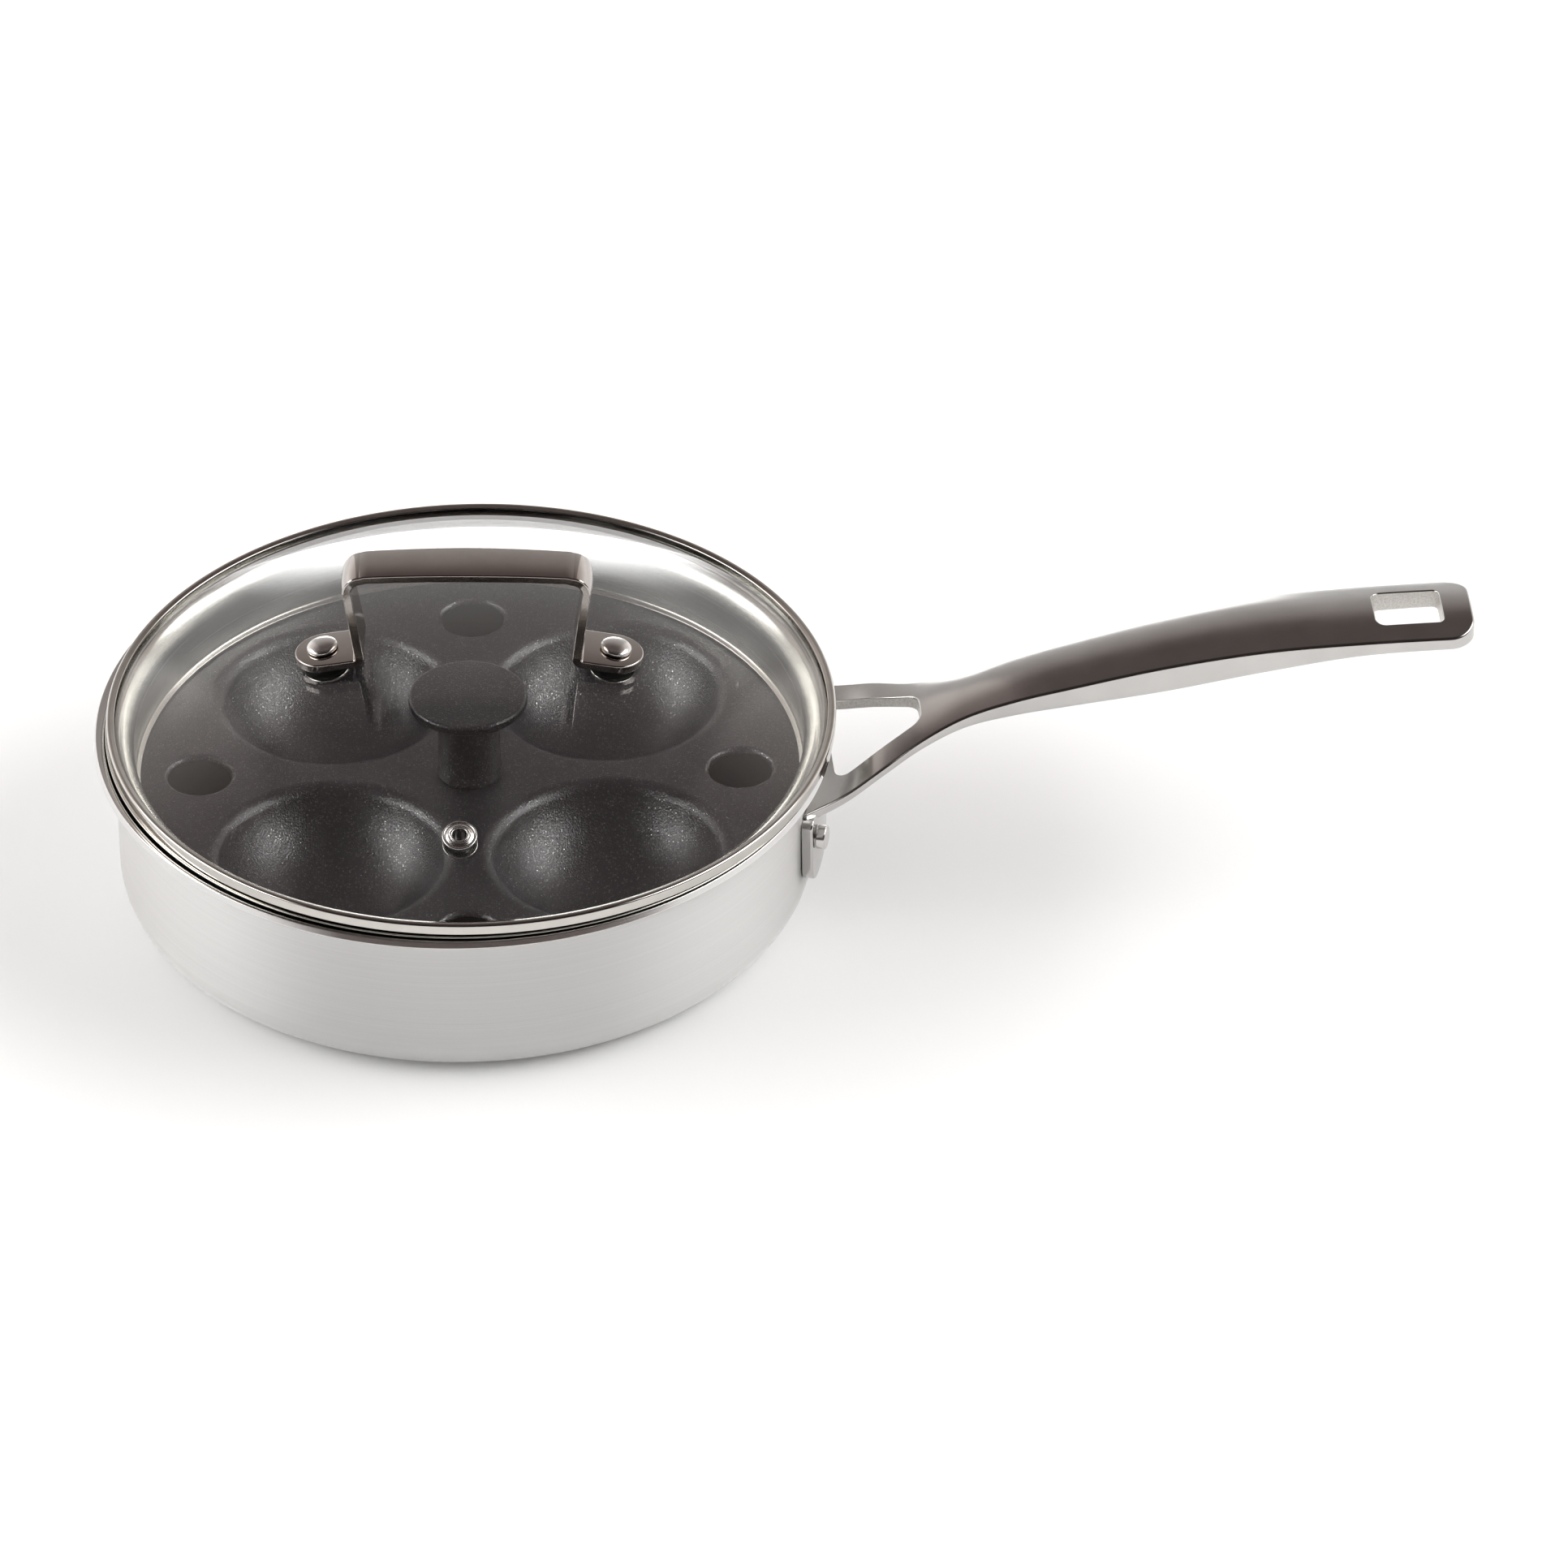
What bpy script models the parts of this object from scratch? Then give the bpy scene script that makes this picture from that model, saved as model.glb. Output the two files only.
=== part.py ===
"""Low pan with a four-cup egg insert, a domed glass lid and a forked long handle.

Metres, +Z up. The origin is the middle of the flat base, where the pan stands.
The long handle leaves the pan toward +X.
"""

import math

import bmesh
import bpy
from mathutils import Matrix, Vector

# Clearance between pieces that touch on the real pan
SEAT_GAP = 0.0003
MERGE_DISTANCE = 0.00001

# Pan body: the wall leans out a little, and the lip's curve and angle set how far the lip reaches
PAN_HEIGHT = 0.0527
WALL_RADIUS = 0.1046
WALL_LEAN = 0.00024
WALL_THICKNESS = 0.0025
BASE_CORNER_RADIUS = 0.0118
LIP_FLARE_RADIUS = 0.0055
LIP_FLARE_ANGLE = math.radians(85.0)

# Long handle, with all its distances measured outward from the pan's wall
HANDLE_AZIMUTH = math.radians(5.0)
HANDLE_LENGTH = 0.1994
HANDLE_TIP_CORNER = 0.0078
# Distance from the wall, half width, height of the side edge over the lip, side depth,
# crown, and how far the underside is hollowed between the sides
HANDLE_SECTIONS = (
    (-0.0066, 0.0362, -0.0160, 0.0048, 0.0013, 0.0018),
    (0.0074, 0.0290, -0.0124, 0.0048, 0.0015, 0.0018),
    (0.0204, 0.0222, -0.0083, 0.0048, 0.0019, 0.0017),
    (0.0324, 0.0152, -0.0046, 0.0044, 0.0023, 0.0014),
    (0.0454, 0.0114, 0.0000, 0.0042, 0.0026, 0.0008),
    (0.0604, 0.0117, 0.0050, 0.0056, 0.0031, 0.0000),
    (0.0754, 0.0124, 0.0087, 0.0069, 0.0036, 0.0000),
    (0.1054, 0.0134, 0.0149, 0.0090, 0.0044, 0.0000),
    (0.1354, 0.0142, 0.0189, 0.0078, 0.0048, 0.0000),
    (0.1654, 0.0147, 0.0200, 0.0050, 0.0050, 0.0000),
    (0.2004, 0.0150, 0.0198, 0.0043, 0.0052, 0.0000),
)
HANDLE_UNDERSIDE_INSET = 0.0022
HANDLE_UNDERSIDE_DROP = 0.0014
FORK_LEG_WIDTH = 0.0094
FORK_OPENING_START = 0.0054
FORK_OPENING_APEX = 0.0326
FORK_OPENING_APEX_RADIUS = 0.0058
FORK_OPENING_CORNER_RADIUS = 0.0025
HANG_HOLE_END_WALL = 0.0090
HANG_HOLE_LENGTH = 0.0205
HANG_HOLE_WIDTH = 0.0172
HANG_HOLE_CORNER = 0.0030
FLANGE_HALF_WIDTH = 0.0386
FLANGE_THICKNESS = 0.0034
FLANGE_TOP_DROP = 0.0160
FLANGE_HEIGHT = 0.0224
FLANGE_CORNER = 0.0055
FLANGE_TOP_CORNER = 0.0028

# Handle rivets, placed from the fixing plate's ends and its top edge
RIVET_END_DISTANCE = 0.0046
RIVET_TOP_DISTANCE = 0.0078
RIVET_SHANK_RADIUS = 0.0025
RIVET_HEAD_RADIUS = 0.0037
RIVET_HEAD_HEIGHT = 0.0028
RIVET_HEAD_ROUND = 0.0006
RIVET_INNER_HEAD_RADIUS = 0.0036
RIVET_INNER_HEAD_HEIGHT = 0.0016

# Insert ring: loose in the pan's wall, with a flange that stops short of the lip's edge
RING_CLEARANCE = 0.0018
RING_THICKNESS = 0.0006
RING_FLARE_RADIUS = 0.0066
RING_LIP_INSET = 0.0023
RING_BEAD_WIDTH = 0.0014

# Egg tray: the cups fill the round plate but for these widths of sheet
TRAY_DROP = 0.0170
TRAY_THICKNESS = 0.0020
CUP_EDGE_WEB = 0.0039
CUP_MIDDLE_WEB = 0.0063
CUP_SHOULDER_RADIUS = 0.0055
CUP_WALL_ANGLE = math.radians(62.0)
CUP_FLAT_RADIUS = 0.0030
STEAM_HOLE_RADIUS = 0.0093
STEAM_HOLE_INSET = 0.0186
STEAM_HOLE_CHAMFER = 0.0011
STEAM_HOLE_DROP = 0.0006

# Tray knob
KNOB_HEIGHT = 0.0276
KNOB_DISC_RADIUS = 0.0177
KNOB_DISC_THICKNESS = 0.0032
KNOB_DISC_ROUND = 0.0011
KNOB_NECK_RADIUS = 0.0042
KNOB_STEM_RADIUS = 0.0093
KNOB_FOOT_RADIUS = 0.0105
KNOB_FOOT_HEIGHT = 0.0011
KNOB_FOOT_TAPER = 0.0021
KNOB_BORE_RADIUS = 0.0026
KNOB_BORE_DEPTH = 0.0130
KNOB_BORE_POINT = 0.0013
KNOB_SCREW_HEAD_RADIUS = 0.0045
KNOB_SCREW_HEAD_HEIGHT = 0.0020
KNOB_SCREW_HEAD_CHAMFER = 0.0011
KNOB_SCREW_LENGTH = 0.0095
KNOB_WASHER_RADIUS = 0.0070
KNOB_WASHER_THICKNESS = 0.0010

# Lid glass and band: the band overhangs the insert's flange and folds in over and under the glass
LID_SHIFT = 0.0008
BAND_OVERHANG = 0.0007
BAND_TOP_WIDTH = 0.0025
BAND_BOTTOM_WIDTH = 0.0044
BAND_THICKNESS = 0.0007
BAND_CROWN = 0.0004
BAND_ROUND = 0.0007
BAND_CHAMFER = 0.0004
GLASS_THICKNESS = 0.0040
GLASS_EDGE_THICKNESS = 0.0012
GLASS_RISE = 0.0242
VENT_INSET = 0.0294
EYELET_RADIUS = 0.0052
EYELET_BORE_RADIUS = 0.0022
EYELET_BARREL_RADIUS = 0.0030
EYELET_LIP_THICKNESS = 0.0009
EYELET_EDGE_THICKNESS = 0.0004
EYELET_MOUTH_THICKNESS = 0.0006
SEAL_RADIUS = 0.0050
SEAL_THICKNESS = 0.0006

# Lid handle and its fixings
LID_TURN = math.radians(-1.7)
LID_RIVET_OFFSET = 0.0431
STRAP_THICKNESS = 0.0031
STRAP_CROWN = 0.0009
STRAP_CROWN_RUN = 0.0107
STRAP_EDGE = 0.0003
STRAP_BEND_RADIUS = 0.0019
STRAP_SHOULDER_RADIUS = 0.0048
FOOT_CROWN = 0.0004
BAR_HEIGHT = 0.03245
BAR_ARCH = 0.0014
BAR_HALF_SPAN = 0.0375
BAR_HALF_WIDTH = 0.0074
BAR_END_HALF_WIDTH = 0.0063
LEG_FOOT_OFFSET = 0.0342
FOOT_HALF_WIDTH = 0.0085
FOOT_END_HALF_WIDTH = 0.0024
LID_RIVET_HEAD_RADIUS = 0.0047
LID_RIVET_HEAD_HEIGHT = 0.0024
LID_RIVET_HEAD_EDGE = 0.0010
LID_RIVET_SHANK_RADIUS = 0.0024
PAD_RADIUS = 0.0066
PAD_THICKNESS = 0.0003
BUSH_RADIUS = 0.0038
BUSH_FLANGE_RADIUS = 0.0068
BUSH_FLANGE_THICKNESS = 0.0008
INNER_WASHER_RADIUS = 0.0066
INNER_WASHER_THICKNESS = 0.0010
INNER_HEAD_RADIUS = 0.0040
INNER_HEAD_HEIGHT = 0.0011
INNER_HEAD_CHAMFER = 0.0010

# Facet counts round the turned pieces, and places along the handle where its section is drawn
LARGE_STEPS = 48
MEDIUM_STEPS = 20
SMALL_STEPS = 12
HANDLE_STATIONS = 28

for old_object in list(bpy.data.objects):
    bpy.data.objects.remove(old_object, do_unlink=True)


def make_collection(name):
    collection = bpy.data.collections.new(name)
    bpy.context.scene.collection.children.link(collection)
    return collection


parts = make_collection("egg_insert_pan")
cutters = make_collection("cutters")


def make_material(name, colour, metallic, roughness, transmission=0.0):
    material = bpy.data.materials.new(name)
    material.use_nodes = True
    shader = material.node_tree.nodes["Principled BSDF"]
    shader.inputs["Base Color"].default_value = (*colour, 1.0)
    shader.inputs["Metallic"].default_value = metallic
    shader.inputs["Roughness"].default_value = roughness
    shader.inputs["Transmission Weight"].default_value = transmission
    return material


SATIN_STEEL = make_material("satin_steel", (0.62, 0.61, 0.60), 1.0, 0.32)
CAST_STEEL = make_material("polished_cast_steel", (0.52, 0.49, 0.47), 1.0, 0.14)
BRIGHT_STEEL = make_material("bright_steel", (0.66, 0.64, 0.61), 1.0, 0.10)
COATING = make_material("speckled_coating", (0.055, 0.052, 0.056), 0.1, 0.42)
GLASS = make_material("tempered_glass", (0.92, 0.97, 0.94), 0.0, 0.02, 1.0)
SILICONE = make_material("dark_silicone", (0.03, 0.03, 0.03), 0.0, 0.55)


def add_object(name, mesh, material, collection=parts, parent=None):
    item = bpy.data.objects.new(name, mesh)
    collection.objects.link(item)
    if material is not None:
        mesh.materials.append(material)
    item.parent = parent
    return item


def add_empty(name, location, rotation=(0.0, 0.0, 0.0), parent=None):
    empty = bpy.data.objects.new(name, None)
    parts.objects.link(empty)
    empty.location = location
    empty.rotation_euler = rotation
    empty.parent = parent
    return empty


def arc(centre_x, centre_z, radius, start_degrees, end_degrees, count):
    """Points on a circle in the XZ plane, both ends included."""
    points = []
    for index in range(count + 1):
        angle = math.radians(start_degrees + (end_degrees - start_degrees) * index / count)
        points.append((centre_x + radius * math.cos(angle), centre_z + radius * math.sin(angle)))
    return points


def dome(radius, base, rise):
    """Points over half of a low dome, from its rim up to its top on the axis."""
    rim = [(radius * math.cos(math.radians(angle)), base + rise * math.sin(math.radians(angle)))
           for angle in (0.0, 30.0, 60.0)]
    return rim + [(0.0, base + rise)]


def turned(name, profile, material, steps, closed=False, collection=parts, parent=None):
    """A profile of (radius, height) turned round the object's own Z axis."""
    mesh = bpy.data.meshes.new(name)
    edges = [(index, index + 1) for index in range(len(profile) - 1)]
    if closed:
        edges.append((len(profile) - 1, 0))
    mesh.from_pydata([(radius, 0.0, height) for radius, height in profile], edges, [])
    item = add_object(name, mesh, material, collection, parent)
    screw = item.modifiers.new("turn", "SCREW")
    screw.angle = 2.0 * math.pi
    screw.steps = steps
    screw.render_steps = steps
    screw.use_merge_vertices = True
    screw.merge_threshold = MERGE_DISTANCE
    screw.use_smooth_shade = True
    return item


def mark_cutter(item):
    item.hide_render = True
    item.display_type = "WIRE"
    return item


def rod_cutter(name, radius, low, high, steps=SMALL_STEPS, parent=None):
    profile = [(0.0, high), (radius, high), (radius, low), (0.0, low)]
    return mark_cutter(turned(name, profile, None, steps, collection=cutters, parent=parent))


def rounded_outline(corners, count=4):
    """A closed outline through corners given as (x, y, radius), each rounded by an arc."""
    points = []
    total = len(corners)
    for index, (x, y, radius) in enumerate(corners):
        here = Vector((x, y))
        before = Vector(corners[index - 1][:2]) - here
        after = Vector(corners[(index + 1) % total][:2]) - here
        half = before.angle(after) / 2.0
        run = radius / math.tan(half)
        centre = here + (before.normalized() + after.normalized()).normalized() * radius / math.sin(half)
        start = here + before.normalized() * run - centre
        turn = math.pi - 2.0 * half
        side = 1.0 if before.x * after.y - before.y * after.x < 0.0 else -1.0
        for step in range(count + 1):
            offset = start.copy()
            offset.rotate(Matrix.Rotation(side * turn * step / count, 2))
            points.append(centre + offset)
    return points


def prism_cutter(name, outline, low, high, parent=None):
    """A flat outline in the XY plane, raised from low to high."""
    curve = bpy.data.curves.new(name, "CURVE")
    curve.dimensions = "2D"
    curve.fill_mode = "BOTH"
    curve.extrude = (high - low) / 2.0
    spline = curve.splines.new("POLY")
    spline.points.add(len(outline) - 1)
    for point, place in zip(spline.points, outline):
        point.co = (place[0], place[1], 0.0, 1.0)
    spline.use_cyclic_u = True
    source = bpy.data.objects.new(name + "_curve", curve)
    cutters.objects.link(source)
    source.location = (0.0, 0.0, (high + low) / 2.0)
    bpy.context.view_layer.update()
    graph = bpy.context.evaluated_depsgraph_get()
    mesh = bpy.data.meshes.new_from_object(source.evaluated_get(graph))
    welded = bmesh.new()
    welded.from_mesh(mesh)
    bmesh.ops.remove_doubles(welded, verts=welded.verts, dist=MERGE_DISTANCE)
    bmesh.ops.recalc_face_normals(welded, faces=welded.faces)
    welded.to_mesh(mesh)
    welded.free()
    item = add_object(name, mesh, None, cutters, parent)
    item.matrix_world = source.matrix_world.copy()
    bpy.data.objects.remove(source, do_unlink=True)
    return mark_cutter(item)


def combine(item, other, operation):
    modifier = item.modifiers.new(operation.lower() + "_" + other.name, "BOOLEAN")
    modifier.operation = operation
    modifier.object = other
    modifier.solver = "EXACT"
    return modifier


# Pan body: one turned shell from the middle of the floor, out over the lip and back under the base
inner_wall = WALL_RADIUS - WALL_THICKNESS
inner_corner = BASE_CORNER_RADIUS - WALL_THICKNESS
lip_half = WALL_THICKNESS / 2.0
flare_end = math.degrees(LIP_FLARE_ANGLE)
flare_middle = LIP_FLARE_RADIUS + lip_half
flare_centre_x = WALL_RADIUS + WALL_LEAN + LIP_FLARE_RADIUS
flare_centre_z = PAN_HEIGHT - flare_middle * math.sin(LIP_FLARE_ANGLE)
lip_centre_x = flare_centre_x - flare_middle * math.cos(LIP_FLARE_ANGLE)
lip_radius = lip_centre_x + lip_half

pan_profile = [(0.0, WALL_THICKNESS)]
pan_profile += arc(inner_wall - inner_corner, BASE_CORNER_RADIUS, inner_corner, -90.0, 0.0, 3)
pan_profile += arc(flare_centre_x, flare_centre_z, LIP_FLARE_RADIUS + WALL_THICKNESS,
                   180.0, 180.0 - flare_end, 5)
pan_profile += arc(lip_centre_x, PAN_HEIGHT, lip_half, 90.0, -90.0, 4)[1:-1]
pan_profile += arc(flare_centre_x, flare_centre_z, LIP_FLARE_RADIUS, 180.0 - flare_end, 180.0, 4)
pan_profile += arc(WALL_RADIUS - BASE_CORNER_RADIUS, BASE_CORNER_RADIUS, BASE_CORNER_RADIUS,
                   0.0, -90.0, 5)
pan_profile += [(0.0, 0.0)]
pan_body = turned("pan_body", pan_profile, SATIN_STEEL, LARGE_STEPS)

# Long handle: its frame stands on the pan's wall at lip height and points along the handle
pan_axis = Matrix.Translation((0.0, 0.0, PAN_HEIGHT)) @ Matrix.Rotation(HANDLE_AZIMUTH, 4, "Z")
handle_root = pan_axis @ Matrix.Translation((WALL_RADIUS, 0.0, 0.0))
handle_frame = add_empty("handle_frame", handle_root.translation, (0.0, 0.0, HANDLE_AZIMUTH))


def handle_value(along, column):
    """Smooth value of one column of the handle's sections at a distance from the wall."""
    rows = HANDLE_SECTIONS
    index = 0
    while index < len(rows) - 2 and along > rows[index + 1][0]:
        index += 1
    low, high = rows[index], rows[index + 1]
    before = rows[max(index - 1, 0)]
    after = rows[min(index + 2, len(rows) - 1)]
    width = high[0] - low[0]
    share = min(max((along - low[0]) / width, 0.0), 1.0)
    slope_low = (high[column] - before[column]) / (high[0] - before[0]) * width
    slope_high = (after[column] - low[column]) / (after[0] - low[0]) * width
    cube, square = share ** 3, share ** 2
    return ((2.0 * cube - 3.0 * square + 1.0) * low[column] + (cube - 2.0 * square + share) * slope_low
            + (3.0 * square - 2.0 * cube) * high[column] + (cube - square) * slope_high)


def handle_half_width(along):
    width = handle_value(along, 1)
    into_corner = along - (HANDLE_LENGTH - HANDLE_TIP_CORNER)
    if into_corner > 0.0:
        width -= HANDLE_TIP_CORNER - math.sqrt(max(HANDLE_TIP_CORNER ** 2 - into_corner ** 2, 0.0))
    return width


def handle_section(along, crown_points=8):
    """One cross-section as (across, height), from the far side edge round the top and under."""
    half = handle_half_width(along)
    edge = handle_value(along, 2)
    depth = handle_value(along, 3)
    crown = handle_value(along, 4)
    hollow = handle_value(along, 5)
    points = []
    for index in range(crown_points):
        share = -math.cos(math.pi * index / (crown_points - 1))
        points.append((half * share, edge + crown * (1.0 - share ** 2)))
    inset = min(HANDLE_UNDERSIDE_INSET, half / 2.0)
    points.append((half, edge - depth + HANDLE_UNDERSIDE_DROP))
    points.append((half - inset, edge - depth))
    points.append((half / 2.0, edge - depth + hollow))
    points.append((-half / 2.0, edge - depth + hollow))
    points.append((inset - half, edge - depth))
    points.append((-half, edge - depth + HANDLE_UNDERSIDE_DROP))
    return points


def handle_stations():
    start = HANDLE_SECTIONS[0][0]
    straight_end = HANDLE_LENGTH - HANDLE_TIP_CORNER
    straight = [start + (straight_end - start) * index / (HANDLE_STATIONS - 1)
                for index in range(HANDLE_STATIONS)]
    corner = [straight_end + HANDLE_TIP_CORNER * math.sin(math.radians(angle))
              for angle in (25.0, 45.0, 62.0, 77.0, 90.0)]
    return straight + corner


def build_handle_mesh():
    """Loft through the handle's sections, closed at both ends."""
    body = bmesh.new()
    rings = []
    for along in handle_stations():
        rings.append([body.verts.new((along, across, height)) for across, height in handle_section(along)])
    for first, second in zip(rings, rings[1:]):
        count = len(first)
        for index in range(count):
            following = (index + 1) % count
            body.faces.new((first[index], second[index], second[following], first[following]))
    body.faces.new(rings[0])
    body.faces.new(list(reversed(rings[-1])))
    bmesh.ops.recalc_face_normals(body, faces=body.faces)
    mesh = bpy.data.meshes.new("long_handle")
    body.to_mesh(mesh)
    body.free()
    mesh.shade_smooth()
    mesh.set_sharp_from_angle(angle=math.radians(40.0))
    return mesh


long_handle = add_object("long_handle", build_handle_mesh(), CAST_STEEL)
long_handle.parent = handle_frame

# Curved fixing plate: a rounded slab across the handle, trimmed to the pan's radius
plate_inner = WALL_RADIUS + SEAT_GAP
plate_outer = plate_inner + FLANGE_THICKNESS
plate_low = -FLANGE_TOP_DROP - FLANGE_HEIGHT
plate_outline = rounded_outline((
    (-FLANGE_HALF_WIDTH, plate_low, FLANGE_CORNER),
    (FLANGE_HALF_WIDTH, plate_low, FLANGE_CORNER),
    (FLANGE_HALF_WIDTH, -FLANGE_TOP_DROP, FLANGE_TOP_CORNER),
    (-FLANGE_HALF_WIDTH, -FLANGE_TOP_DROP, FLANGE_TOP_CORNER),
))
slab_inner = math.sqrt(plate_inner ** 2 - FLANGE_HALF_WIDTH ** 2) - FLANGE_THICKNESS
plate_slab = prism_cutter("fixing_plate_slab", plate_outline, slab_inner, plate_outer + FLANGE_THICKNESS)
stand_up = Matrix(((0.0, 0.0, 1.0, 0.0), (1.0, 0.0, 0.0, 0.0), (0.0, 1.0, 0.0, 0.0), (0.0, 0.0, 0.0, 1.0)))
plate_slab.matrix_world = pan_axis @ stand_up @ plate_slab.matrix_world
plate_round = rod_cutter("fixing_plate_round", plate_outer, -PAN_HEIGHT, PAN_HEIGHT, 2 * LARGE_STEPS)
plate_round.matrix_world = pan_axis
combine(plate_slab, plate_round, "INTERSECT")
combine(long_handle, plate_slab, "UNION")

wall_cut = rod_cutter("wall_cut", plate_inner, -PAN_HEIGHT, PAN_HEIGHT, 2 * LARGE_STEPS)
wall_cut.matrix_world = pan_axis
combine(long_handle, wall_cut, "DIFFERENCE")

# Fork opening: the legs follow the sides of the root, so the opening's corners come from its width
root_half = handle_value(FORK_OPENING_START, 1) - FORK_LEG_WIDTH
apex_half = FORK_OPENING_APEX_RADIUS
opening = prism_cutter("fork_opening", rounded_outline((
    (FORK_OPENING_START, -root_half, FORK_OPENING_CORNER_RADIUS),
    (FORK_OPENING_APEX, -apex_half, FORK_OPENING_APEX_RADIUS),
    (FORK_OPENING_APEX, apex_half, FORK_OPENING_APEX_RADIUS),
    (FORK_OPENING_START, root_half, FORK_OPENING_CORNER_RADIUS),
)), -PAN_HEIGHT, PAN_HEIGHT)
opening.matrix_world = handle_root @ opening.matrix_world
combine(long_handle, opening, "DIFFERENCE")

hole_half = HANG_HOLE_WIDTH / 2.0
hole_end = HANDLE_LENGTH - HANG_HOLE_END_WALL
hole_start = hole_end - HANG_HOLE_LENGTH
hang_hole = prism_cutter("hang_hole", rounded_outline((
    (hole_start, -hole_half, HANG_HOLE_CORNER),
    (hole_end, -hole_half, HANG_HOLE_CORNER),
    (hole_end, hole_half, HANG_HOLE_CORNER),
    (hole_start, hole_half, HANG_HOLE_CORNER),
)), -PAN_HEIGHT, PAN_HEIGHT)
hang_hole.matrix_world = handle_root @ hang_hole.matrix_world
combine(long_handle, hang_hole, "DIFFERENCE")

# Handle rivets: flat heads outside, domed heads inside the pan, on axes square to the wall.
# The inner heads keep clear of the nearest flats of the turned wall.
rivet_angle = math.asin((FLANGE_HALF_WIDTH - RIVET_END_DISTANCE) / plate_outer)
for side, rivet_name in ((-1.0, "handle_rivet_front"), (1.0, "handle_rivet_rear")):
    rivet_axis = (pan_axis @ Matrix.Translation((0.0, 0.0, -FLANGE_TOP_DROP - RIVET_TOP_DISTANCE))
                  @ Matrix.Rotation(side * rivet_angle, 4, "Z") @ Matrix.Rotation(math.pi / 2.0, 4, "Y"))
    head_base = plate_outer + SEAT_GAP
    head_top = head_base + RIVET_HEAD_HEIGHT
    inner_face = inner_wall * math.cos(math.pi / LARGE_STEPS) - SEAT_GAP
    rivet_profile = [
        (0.0, head_top),
        (RIVET_HEAD_RADIUS - RIVET_HEAD_ROUND, head_top),
        (RIVET_HEAD_RADIUS, head_top - RIVET_HEAD_ROUND),
        (RIVET_HEAD_RADIUS, head_base),
        (RIVET_SHANK_RADIUS, head_base),
        (RIVET_SHANK_RADIUS, inner_face),
    ]
    rivet_profile += dome(RIVET_INNER_HEAD_RADIUS, inner_face, -RIVET_INNER_HEAD_HEIGHT)
    rivet = turned(rivet_name, rivet_profile, BRIGHT_STEEL, SMALL_STEPS)
    rivet.matrix_world = rivet_axis
    rivet_hole = rod_cutter(rivet_name + "_hole", RIVET_SHANK_RADIUS + SEAT_GAP,
                            inner_wall - RIVET_HEAD_HEIGHT, head_top)
    rivet_hole.matrix_world = rivet_axis
    combine(pan_body, rivet_hole, "DIFFERENCE")
    combine(long_handle, rivet_hole, "DIFFERENCE")

# Insert ring: hangs by its flange on the lip and grips the tray's edge between two crimped beads.
# The whole insert is pushed toward the handle until its wall all but meets the pan's.
insert_place = Vector((RING_CLEARANCE - SEAT_GAP, 0.0, PAN_HEIGHT))
insert_frame = add_empty("insert_frame", insert_place)
ring_wall = inner_wall - RING_CLEARANCE
ring_inner = ring_wall - RING_THICKNESS
ring_edge = lip_radius - RING_LIP_INSET
flange_low = lip_half + SEAT_GAP
ring_flare_x = ring_wall + RING_FLARE_RADIUS
ring_flare_z = flange_low - RING_FLARE_RADIUS
bead_top = -TRAY_DROP + SEAT_GAP
bead_low = -TRAY_DROP - TRAY_THICKNESS - SEAT_GAP
bead_inner = ring_inner - RING_BEAD_WIDTH
ring_profile = arc(ring_flare_x, ring_flare_z, RING_FLARE_RADIUS + RING_THICKNESS, 180.0, 90.0, 4)
ring_profile += [
    (ring_edge, flange_low + RING_THICKNESS),
    (ring_edge, flange_low),
]
ring_profile += arc(ring_flare_x, ring_flare_z, RING_FLARE_RADIUS, 90.0, 180.0, 3)
ring_profile += [
    (ring_wall, bead_low - RING_THICKNESS),
    (bead_inner, bead_low - RING_THICKNESS),
    (bead_inner, bead_low),
    (ring_inner, bead_low),
    (ring_inner, bead_top),
    (bead_inner, bead_top),
    (bead_inner, bead_top + RING_THICKNESS),
    (ring_inner, bead_top + RING_THICKNESS * 2.0),
]
turned("insert_ring", ring_profile, BRIGHT_STEEL, LARGE_STEPS, closed=True, parent=insert_frame)

# Egg tray: one sheet with four round cups and four steam holes, thickened downward.
# Four equal cups at right angles leave the middle web between neighbours and the edge web outside.
tray_edge = ring_inner - SEAT_GAP
diagonal = math.sqrt(2.0)
cup_radius = (tray_edge - CUP_EDGE_WEB - CUP_MIDDLE_WEB / diagonal) / (1.0 + diagonal)
cup_centre_radius = tray_edge - CUP_EDGE_WEB - cup_radius
steam_hole_centre_radius = tray_edge - STEAM_HOLE_INSET


def ring_of_points(mesh, centre, radius, height, steps):
    points = []
    for index in range(steps):
        angle = 2.0 * math.pi * index / steps
        points.append(mesh.verts.new((centre[0] + radius * math.cos(angle),
                                      centre[1] + radius * math.sin(angle), height)))
    return points


def join_rings(mesh, outer, inner):
    count = len(outer)
    for index in range(count):
        following = (index + 1) % count
        mesh.faces.new((outer[index], outer[following], inner[following], inner[index]))


def cup_profile():
    """Radius and height of the cup from its rim to the edge of its flat bottom."""
    points = []
    for index in range(4):
        angle = CUP_WALL_ANGLE * index / 3
        points.append((cup_radius - CUP_SHOULDER_RADIUS * math.sin(angle),
                       -CUP_SHOULDER_RADIUS * (1.0 - math.cos(angle))))
    start_radius, start_height = points[-1]
    bowl = (start_radius - CUP_FLAT_RADIUS) / math.sin(CUP_WALL_ANGLE)
    for index in range(1, 5):
        angle = CUP_WALL_ANGLE * (1.0 - index / 4)
        points.append((CUP_FLAT_RADIUS + bowl * math.sin(angle),
                       start_height - bowl * (math.cos(angle) - math.cos(CUP_WALL_ANGLE))))
    return points


def around(radius, degrees):
    return radius * math.cos(math.radians(degrees)), radius * math.sin(math.radians(degrees))


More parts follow.
